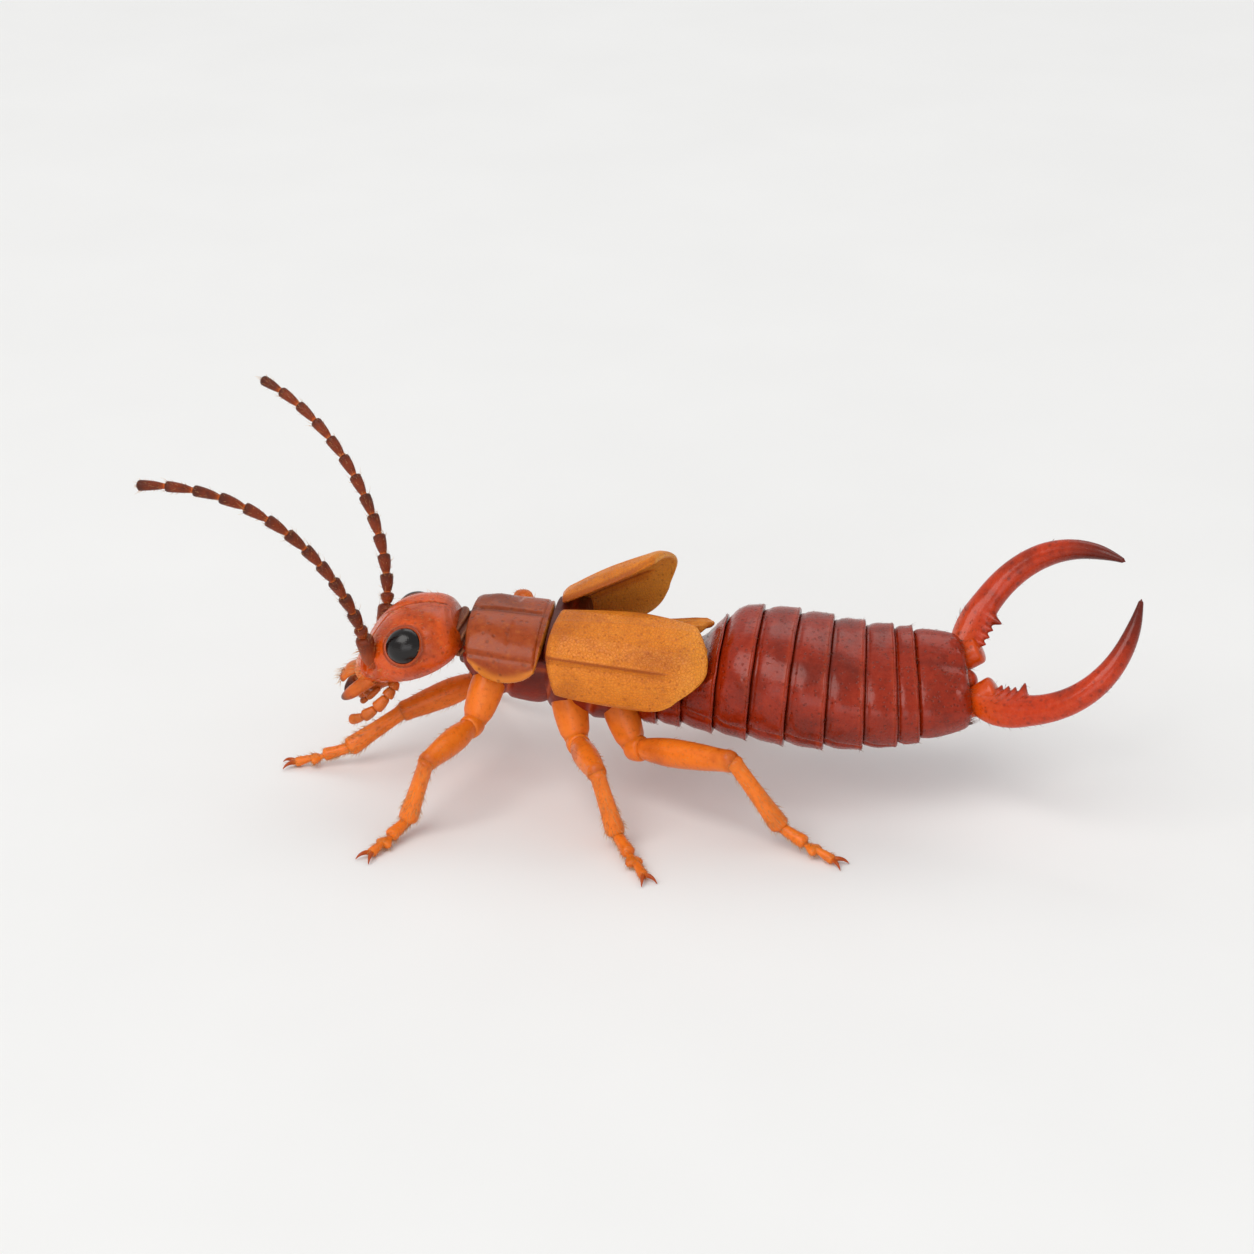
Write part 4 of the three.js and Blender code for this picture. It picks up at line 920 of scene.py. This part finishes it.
def make_thorax_ring(node, start, end, rows, slant, sutures, shoulder):
    """Side plates: slanting sutures between them, a fold above the leg and pale skin in the grooves."""
    s, angle = lattice(linspace(start, end, rows), around(160))
    local, low = (s - start) / (end - start), sin(angle)
    grooves = sum(bell(local - slant * low, place, 0.035) for place in sutures)
    fold = bell(low, -0.1, 0.06)
    belly = bell(abs(cos(angle)), 0.34, 0.05) * smooth(low, -0.3, -0.7)
    out = -0.07 * clip(grooves, 0, 1) - 0.06 * fold - 0.05 * belly
    out = out + 0.05 * sin(pi * clip(local, 0, 1)) * smooth(low, 0.1, -0.4)
    tone = 0.9 * clip(grooves + fold + belly, 0, 1) - 0.3
    if shoulder:  # the middle of the back swells under the fronts of the wing covers
        out = out + 0.76 * smooth(s, 2.06, 2.2) * smooth(s, 3.24, 2.9) * smooth(low, 0.15, 0.8)
        # The top is painted darker: painted shade in the gap between the shield and the wing covers.
        tone = tone - 0.6 * smooth(low, 0.1, 0.4)
    edge = 1 - 0.1 * abs(2 * local - 1) ** 8
    sizes = [along(table, s / THORAX_LENGTH) * edge + out for table in THORAX_SIZES]
    shell = Shell()
    shell.add(in_trunk(s, *section(angle, *sizes)), tone)
    shell.build(f"{node}_plates", "thorax", node)


def wing_face(side, spec, sizes, stand):
    return saddle(spec, sizes, 90, -spec["wrap"], stand, side, GAP / 2)


def rotation(axis, degrees):
    x, y, z = axis
    spin = array([[0, -z, y], [z, 0, -x], [-y, x, 0]])
    a = radians(degrees)
    return np.eye(3) + sin(a) * spin + (1 - cos(a)) * spin @ spin


def raised(face):
    """Turns the right wing cover up and out about its shoulder."""
    hinge = in_trunk(TEGMEN["start"] + 0.2, 0.6, 1.1)
    _, back, side, up = trunk_frame(TEGMEN["start"])
    turn = (rotation(up, RAISED_TEGMEN["spread"]) @ rotation(side, -RAISED_TEGMEN["lift"])
            @ rotation(back, RAISED_TEGMEN["roll"]))
    return lambda u, v: hinge + (face(u, v) - hinge) @ turn.T


def make_tegmen(side, word):
    def outer(x, y):
        ridge = 0.06 * bell(x, 0.167, 0.07) * smooth(y, 0.7, 0.35)
        veins = bell(x - 0.06 * y, -0.25, 0.05) + bell(x + 0.05 * y, -0.62, 0.05)
        veins = 0.02 * veins * smooth(y, 0.9, 0.5)
        margin = 0.1 * smooth(maximum(abs(x), abs(y)), 0.72, 1.0) ** 2
        return ridge + veins - margin - 0.03 * bell(x, 0.3, 0.06) * smooth(y, 0.7, 0.3)

    def tone(u, v):
        ridge = bell(u, 0.2, 0.035) * smooth(v, 0.62, 0.45) + 0.4 * bell(u, 0.3, 0.08) * smooth(v, 0.7, 0.3)
        dark = 0.8 * ridge + 0.8 * smooth(u, -0.92, -0.99) + 0.5 * smooth(v, -0.9, -1)
        return 0.5 * smooth(u, 0.9, 0.97) + 0.4 * smooth(v, 0.3, 0.95) - dark

    spec = {**TEGMEN, "length": RAISED_TEGMEN["length"]} if side > 0 else TEGMEN
    stands = outer, lambda x, y: outer(x, y) * 0.4 - 0.2
    faces = [wing_face(side, spec, TEGMEN_SIZES, stand) for stand in stands]
    if side > 0:
        faces = [raised(face) for face in faces]
    shell = Shell()
    # The covers' undersides are painted paler: painted light against their shade.
    shell.plate(*faces, 200, 180, (0.06, 0.05), tone, painted_underside_light=0.8)
    shell.build(f"tegmen_{word}_cover", "tegmen", f"tegmen_{word}", weld=True)


def make_wing(side, word):
    def outer(x, y):
        fans = 0.03 * abs(sin(pi * (3.2 * (x + 0.25 * y)))) * smooth(y, 0.95, 0.6)
        return 0.05 * maximum(0, 1 - abs(abs(x) - 0.33) / 0.17) + fans

    def inner(x, y):
        return outer(x, y) - 0.3 + 0.16 * smooth(y, 0.4, 1)

    def tone(u, v):
        veins = bell(abs(u), 0.36, 0.05) + 0.5 * bell(abs(sin(pi * 3.2 * (u + 0.25 * v))), 0, 0.12)
        return 0.35 - 0.9 * veins - 0.6 * smooth(u, -0.9, -0.98)

    faces = [wing_face(side, WING, WING_SIZES, stand) for stand in (outer, inner)]
    shell = Shell()
    shell.plate(*faces, 180, 150, (0.1, 0.07), tone)
    shell.build(f"wing_{word}_fold", "wing", f"wing_{word}", weld=True)


# Abdomen: ten rings, each with a rolled rear rim over the collar of the next.
RING_SIDES = 208
GROOVE_ANGLE = -0.36  # radians below the widest line, where the back plate ends over the belly plate
TUBERCLE_RINGS = (2, 3)
# Places before a ring's start and past its end, in mm, each with how far the cuticle stands out there.
COLLAR = [(-0.24, -0.24), (-0.12, -0.19), (-0.03, -0.15), (0.03, -0.11)]
RIM = [(-0.03, 0.042), (0, 0.042), (0.02, 0.034), (0.035, 0.014), (0.038, -0.008), (0.03, -0.03),
       (0.01, -0.05), (-0.04, -0.065), (-0.12, -0.085), (-0.22, -0.11)]
RING_BACK = [[0, -0.1], [0.12, -0.07], [0.42, 0.0], [0.8, 0.02], [1, 0.036]]
LAST_PROFILE = [[0, 0.1], [0.1, 0.05], [0.25, 0.01], [0.55, 0], [0.78, 0.02], [0.88, 0.05], [0.95, 0.11],
                [0.985, 0.19], [1, 0.3]]


def plates(fold):
    """The groove between the back and belly plates, and the back plate above it."""
    return bell(fold, GROOVE_ANGLE, 0.06), smooth(fold, GROOVE_ANGLE - 0.01, GROOVE_ANGLE + 0.05)


def build_ring(index, s, angle, stand, tone, ragged=0.0):
    sizes = [along(table, (s - THORAX_LENGTH) / ABDOMEN_LENGTH) + stand for table in ABDOMEN_SIZES]
    shell, node = Shell(), f"abdomen_{index + 1:02d}"
    shell.add(in_trunk(s + ragged, *section(angle, *sizes)), tone)
    shell.build(f"{node}_ring", "abdomen", node)
    return shell


def make_ring(index, start, length, coat):
    """One ring from its collar over its back and round its rear rim."""
    share = linspace(0.1, 1, 26)[:-1]
    back = stack([start + length * share, along(RING_BACK, share)], 1)
    profile = concatenate([vec(start, 0) + COLLAR, back, vec(start + length, 0) + RIM])
    count = len(profile)
    s, angle = lattice(profile[:, 0], around(RING_SIDES))
    rows, local, fold = arange(count)[:, None], (s - start) / length, np.arcsin(sin(angle))
    groove, back_plate = plates(fold)
    bump = bell(fold, 0.42, 0.11) * bell(local, 0.78, 0.16) * (index in TUBERCLE_RINGS)
    out = (0.035 * back_plate - 0.06 * groove * smooth(local, -0.1, 0.1)
           - 0.02 * bell(local, 0.16, 0.05) * back_plate + 0.1 * bump
           + 0.012 * sin(5 * angle + index) * sin(pi * clip(local, 0, 1)))
    # The collar, tucked under the rim of the ring before, is painted darker: painted shade.
    tone = (0.5 * groove + 0.35 * smooth(fold, GROOVE_ANGLE, GROOVE_ANGLE - 0.5) + 0.2 * bump
            - 0.25 * bell(fold, -0.1, 0.25) + 0.35 * bell(local, 0.93, 0.07)
            - 0.85 * smooth(local, 0.2, -0.02))
    on_back = smooth(rows, 1, 5) * smooth(rows, count - 4, count - 8)
    ragged = 0.006 * sin(9 * angle + 2 * index) * smooth(rows, 22, 30) * on_back
    shell = build_ring(index, s, angle, profile[:, 1:] + out * on_back, tone, ragged)
    coat.grow(shell, 0, 70, 0.09, 0.0045, 2.2, lambda u, v: bell(v * count, count - 11, 1.6))
    coat.grow(shell, 0, 100, 0.07, 0.004, 2.0,
              lambda u, v: smooth(v * count, 6, 9) * smooth(v * count, 28, 25))


def make_last_ring(index, start, length, coat):
    t = concatenate([linspace(0, 0.85, 56), 0.85 + 0.15 * sin(linspace(0.03, pi / 2, 34))])
    inset = concatenate([[0.24, 0.19, 0.14], along(LAST_PROFILE, t), linspace(0.34, 0.86, 9)])[:, None]
    t = concatenate([vec(-0.24, -0.12, -0.03) / length, t, 1 - 0.002 * arange(9)])
    rows = len(t)
    share, angle = lattice(t, around(RING_SIDES))
    groove, back_plate = plates(np.arcsin(sin(angle)))
    across, top = cos(angle), smooth(sin(angle), 0.2, 0.6)
    out = (-0.06 * bell(across, 0, 0.1) * top * smooth(share, 0.35, 0.7)
           + 0.09 * bell(abs(across), 0.52, 0.12) * bell(share, 0.84, 0.09) * top
           + 0.05 * bell(abs(across), 0.2, 0.07) * bell(share, 0.9, 0.06) * top
           - 0.05 * groove * smooth(share, 0.9, 0.6) + 0.035 * back_plate)
    # The collar, tucked under the ring before, is painted darker: painted shade.
    tone = (-0.85 * smooth(share, 0.1, -0.03) + 0.4 * smooth(share, 0.86, 1.0)
            - 0.4 * bell(across, 0, 0.06) * top)
    on_back = smooth(share, 0.02, 0.12) * smooth(inset, 0.3, 0.15)
    shell = build_ring(index, start + length * share, angle, out * on_back - inset, tone)
    coat.grow(shell, 0, 200, 0.1, 0.005, 1.5,
              lambda u, v: smooth(v * rows, 10, 20) * smooth(v * rows, 84, 70))
    coat.grow(shell, 0, 90, 0.2, 0.006, 1.2, lambda u, v: bell(v * rows, 72, 8))


def make_abdomen():
    coat, start = Coat(71), THORAX_LENGTH
    for index, length in enumerate(ABDOMEN_LENGTHS):
        make = make_last_ring if index == len(ABDOMEN_LENGTHS) - 1 else make_ring
        make(index, start, length, coat)
        start += length
    coat.build("abdomen_hairs", "abdomen")


# Forceps: broad crenulated bases, one large tooth each, then bowed arms that taper to dark tips.
# Each tooth's share of the arm's length, its reach and its width as a share of the length.
TEETH = [(0.06, 0.11, 0.0125), (0.1, 0.12, 0.0125), (0.14, 0.12, 0.0125), (0.18, 0.12, 0.0125),
         (0.23, 0.27, 0.019)]
TIP_SHARE = 0.985  # where the arm starts to close at its tip


def tail_frame():
    origin, back, side, up = trunk_frame(TRUNK_LENGTH)
    turn = rotation(up, FORCEPS["turn"])
    rise = radians(FORCEPS["rise"])
    side, away = turn @ side, turn @ back * cos(rise) + up * sin(rise)
    return origin, side, away, cross(away, side)


TAIL_ORIGIN, TAIL_SIDE, TAIL_AWAY, TAIL_UP = tail_frame()


def in_tail(out, away, up):
    return TAIL_ORIGIN + TAIL_SIDE * out + TAIL_AWAY * away + TAIL_UP * up


def make_forceps(side, word):
    curve = bezier([in_tail(side * (FORCEPS["root"] + out), away, FORCEPS["bend"] * i * i / 9)
                    for i, (out, away) in enumerate(FORCEPS_PATH)])
    t = concatenate([linspace(0, 0.3, 190, endpoint=False), linspace(0.3, TIP_SHARE, 120),
                     TIP_SHARE + (1 - TIP_SHARE) * sin(linspace(0.1, pi / 2, 10))])
    middle = curve(t)
    ahead = unit(np.gradient(middle, axis=0))
    inward = unit(cross(ahead, TAIL_UP)) * side
    above = cross(ahead, inward) * side
    t, angle = t[:, None], around(64)
    facing, outer = clip(cos(angle), 0, 1), clip(-cos(angle), 0, 1)
    wide = along(FORCEPS_WIDTH, t) * (1 - 0.75 * smooth(t, TIP_SHARE, 1.0))
    thick = minimum(FORCEPS["thick"], wide * 1.05)
    teeth = sum(reach * bell(t, share, width) for share, reach, width in TEETH)
    base = smooth(t, 0.3, 0.2)
    across = wide + (teeth + 0.05 * base) * facing ** 5 + 0.03 * base * outer
    blade = (1 - 0.5 * base * facing ** 1.5) * (1 + 0.1 * base * bell(cos(angle), -0.25, 0.3))
    points = (middle[:, None] + inward[:, None] * (across * cos(angle))[..., None]
              + above[:, None] * (thick * sin(angle) * blade)[..., None])
    tone = (0.55 - 0.5 * smooth(t, 0.0, 0.3) - smooth(t, 0.5, 1.0) - 0.55 * base * facing ** 6
            - 0.25 * facing ** 3 + 0.1 * outer)
    shell, coat = Shell(), Coat(61 + side)
    arm = shell.add(points, tone)
    ends = (in_tail(side * FORCEPS["root"], away, 0) for away in (-0.45, 0.62))
    shell.add(joint(*ends, [[0, 0.9], [1, 1]], 0.38, TAIL_UP, flat=0.85), 0.5)
    shell.build(f"forceps_{word}_arm", "forceps", f"forceps_{word}")
    coat.grow(shell, arm, 90, 0.13, 0.0055, 0.9, past(0.6, 0.4))
    coat.grow(shell, arm, 80, 0.07, 0.0045, 0.9, past(0.95, 0.8))
    coat.build(f"forceps_{word}_hairs", "forceps")


def make_pygidium():
    form = [[0, 0.9], [0.5, 1], [0.8, 1.08], [1, 0.9]]
    ends = in_tail(0, -0.4, 0.02), in_tail(0, 0.24, -0.02)
    points = notched(*ends, form, 0.22, 0.22, (0.25, 0.2, 0.95), TAIL_UP, 60)
    shell = Shell()
    shell.add(points, 0.4 - 0.7 * smooth(rounded(60), 0.8, 1))
    shell.build("pygidium_knob", "forceps", "pygidium")


# Legs.
COXA_FORM = [[0, 0.6], [0.12, 0.9], [0.4, 1.0], [0.75, 0.86], [0.92, 0.68], [1, 0.55]]
HIP_FORM = [[0, 0.8], [0.3, 1], [0.8, 1], [1, 0.8]]
FEMUR_FORM = [[0, 0.6], [0.05, 0.76], [0.14, 0.92], [0.34, 1.1], [0.62, 1.02], [0.86, 0.86], [0.95, 0.88],
              [1, 0.7]]
TIBIA_FORM = [[0, 0.7], [0.05, 0.95], [0.12, 0.84], [0.2, 0.82], [0.6, 0.9], [0.9, 1.04], [0.97, 1.02],
              [1, 0.8]]
LONG_TARSAL_FORM = [[0, 0.62], [0.08, 0.82], [0.5, 0.9], [0.9, 1.05], [1, 0.85]]
HEART_FORM = [[0, 0.5], [0.25, 0.62], [0.6, 1.2], [0.85, 1.3], [1, 0.9]]
LAST_TARSAL_FORM = [[0, 0.6], [0.3, 0.7], [0.8, 1.0], [0.94, 0.98], [1, 0.7]]
CLAW_FORM = [[0, 1], [0.35, 0.85], [0.7, 0.5], [1, 0.12]]
# Each foot joint's start and end between ankle and toe, its form, half size, flatness and drop.
FOOT_JOINTS = (
    (-0.03, 0.48, LONG_TARSAL_FORM, 0.165, 0.95, 0.0),
    (0.44, 0.7, HEART_FORM, 0.165, 0.55, 0.03),
    (0.56, 1.0, LAST_TARSAL_FORM, 0.125, 0.95, -0.02),
)
FULL_REACH = 0.995  # how far a leg can stretch, as a share of its two long joints
TIBIA_THICK = 0.235
CLAW_THICK, CLAW_SPREAD = 0.07, radians(27)


def leg_joints(pair, side, back, out, lean, ankle_height, own=None):
    """A leg's root, hip, knee, ankle and toe, its way over the ground and the way its knee bends."""
    size = {**LEG_SIZES[pair], **(own or {})}
    femur, tibia = size["femur"], size["tibia"]
    low = along(THORAX_SIZES[2], size["station"] / THORAX_LENGTH)
    root = in_trunk(size["station"], side * COXA["side"], -low * COXA["height"])
    toe = vec(root[0] + back, root[1] + side * out, TOE_HEIGHT)
    plan = unit((toe - root) * vec(1, 1, 0))
    outward = unit(vec(plan[0] * COXA["sweep"], side, 0))
    hip = root + COXA["length"] * (outward * COXA["out"] - vec(0, 0, COXA["down"]))
    ankle = toe - plan * sqrt(size["tarsus"] ** 2 - (ankle_height - TOE_HEIGHT) ** 2)
    ankle[2] = ankle_height
    ahead = unit(ankle - hip)
    reach = min(norm(ankle - hip), (femur + tibia) * FULL_REACH)
    cosine = (femur ** 2 + reach ** 2 - tibia ** 2) / (2 * femur * reach)
    toward = vec(0, side * sin(radians(lean)), cos(radians(lean)))
    bend = unit(toward - ahead * (toward @ ahead))
    knee = hip + femur * (ahead * cosine + bend * sqrt(1 - cosine ** 2))
    return root, hip, knee, ankle, toe, plan, bend


def make_leg(name, stance, seed):
    thick = LEG_SIZES[stance[0]]["thick"]
    root, hip, knee, ankle, toe, plan, bend = leg_joints(*stance)
    shell, coat = Shell(), Coat(seed)
    t = rounded(50)
    facets = lambda count, depth, sides: 1 + depth * cos(count * around(sides))

    reach = hip - root
    sizes = swell(COXA_FORM, t, COXA["radius"], 10)[:, None] * facets(4, 0.03, 48)
    sizes = sizes * (1 - 0.06 * bell(t, 0.16, 0.03) - 0.06 * bell(t, 0.85, 0.04))[:, None]
    shell.add(tube(line(root - reach * 0.3, root + reach * 1.08, t), sizes, sizes, bend, 48),
              0.1 - 0.6 * bell(t, 0.16, 0.05) - 0.4 * bell(t, 0.86, 0.05))
    thigh = unit(knee - hip)
    shell.add(joint(hip - thigh * 0.16, hip + thigh * 0.34, HIP_FORM, thick * 0.92, bend, flat=1.05), 0.05)
    sizes = swell(FEMUR_FORM, t, thick, 16)[:, None]
    points = line(hip + thigh * 0.1, knee + thigh * KNEE_REACH, t)
    femur = shell.add(tube(points, sizes * 0.9 * facets(4, 0.02, 48), sizes, bend, 48),
                      -0.55 * bell(t, 0.0, 0.07) - 0.6 * smooth(t, 0.86, 0.99))
    shin = unit(ankle - knee)
    sizes = swell(TIBIA_FORM, t, TIBIA_THICK, 18)[:, None] * facets(3, 0.03, 40)
    tibia = shell.add(tube(line(knee - shin * 0.12, ankle + shin * 0.06, t), sizes, sizes, bend, 40),
                      0.1 - 0.5 * bell(t, 0.02, 0.09) - 0.35 * smooth(t, 0.9, 1))

    run, above = toe - ankle, vec(0, 0, 1)
    tones = -0.3 * bell(t[:44], 0, 0.1), 0.15, -0.1
    first, heart, last = (
        shell.add(joint(ankle + run * a, ankle + run * b, form, size, above, flat=flat, drop=drop), tone)
        for (a, b, form, size, flat, drop), tone in zip(FOOT_JOINTS, tones))
    sideways = unit(cross(plan, above))
    for turn in (-1, 1):
        ahead = plan * cos(CLAW_SPREAD) + sideways * turn * sin(CLAW_SPREAD)
        start = toe - plan * 0.1 + above * 0.02
        claw = bezier([start, start + ahead * 0.3 + above * 0.12, start + ahead * 0.44 - above * 0.075])
        sizes = along(CLAW_FORM, t) * CLAW_THICK
        shell.add(tube(claw(t), sizes, sizes, above, 20), -0.35 - 0.65 * smooth(t, 0.1, 0.6))
    for grid, *_ in shell.patches:
        grid[..., 2] = maximum(grid[..., 2], FLOOR_CLEARANCE)
    shell.build(f"{name}_joints", "leg", name)

    under = lambda u: bell(u, 0.75, 0.2)
    coat.grow(shell, femur, 200, 0.1, 0.0052, 1.1, past(0.1, 0.3))
    coat.grow(shell, tibia, 330, 0.12, 0.0055, 0.9, lambda u, v: 0.3 + smooth(v, 0.2, 0.9))
    coat.grow(shell, tibia, 10, 0.2, 0.014, 1.0, lambda u, v: bell(v, 0.96, 0.015), curl=0.1)
    coat.grow(shell, first, 230, 0.1, 0.0055, 0.9, lambda u, v: 0.35 + under(u), floor=FLOOR_CLEARANCE)
    coat.grow(shell, heart, 120, 0.09, 0.0055, 0.8, lambda u, v: 0.3 + under(u), floor=FLOOR_CLEARANCE)
    coat.grow(shell, last, 90, 0.1, 0.0055, 1.0, floor=FLOOR_CLEARANCE)
    coat.build(f"{name}_hairs", "leg")


set_stage()
make_head()
for side, word in ((-1, "left"), (1, "right")):
    make_eye(side, word)
    make_antenna(side, word)
    make_jaws(side, word)
    make_tegmen(side, word)
    make_wing(side, word)
    make_forceps(side, word)
make_labrum()
make_labium()
make_neck()
make_pronotum()
make_thorax_ring("prothorax", 0.1, WAIST + 0.04, 110, 0.12, (0.3, 0.62), False)
make_thorax_ring("pterothorax", WAIST - 0.1, THORAX_LENGTH + 0.02, 150, 0.1, (0.12, 0.36, 0.58, 0.82), True)
make_abdomen()
make_pygidium()
for seed, (name, stance) in enumerate(STANCE.items(), 81):
    make_leg(name, stance, seed)
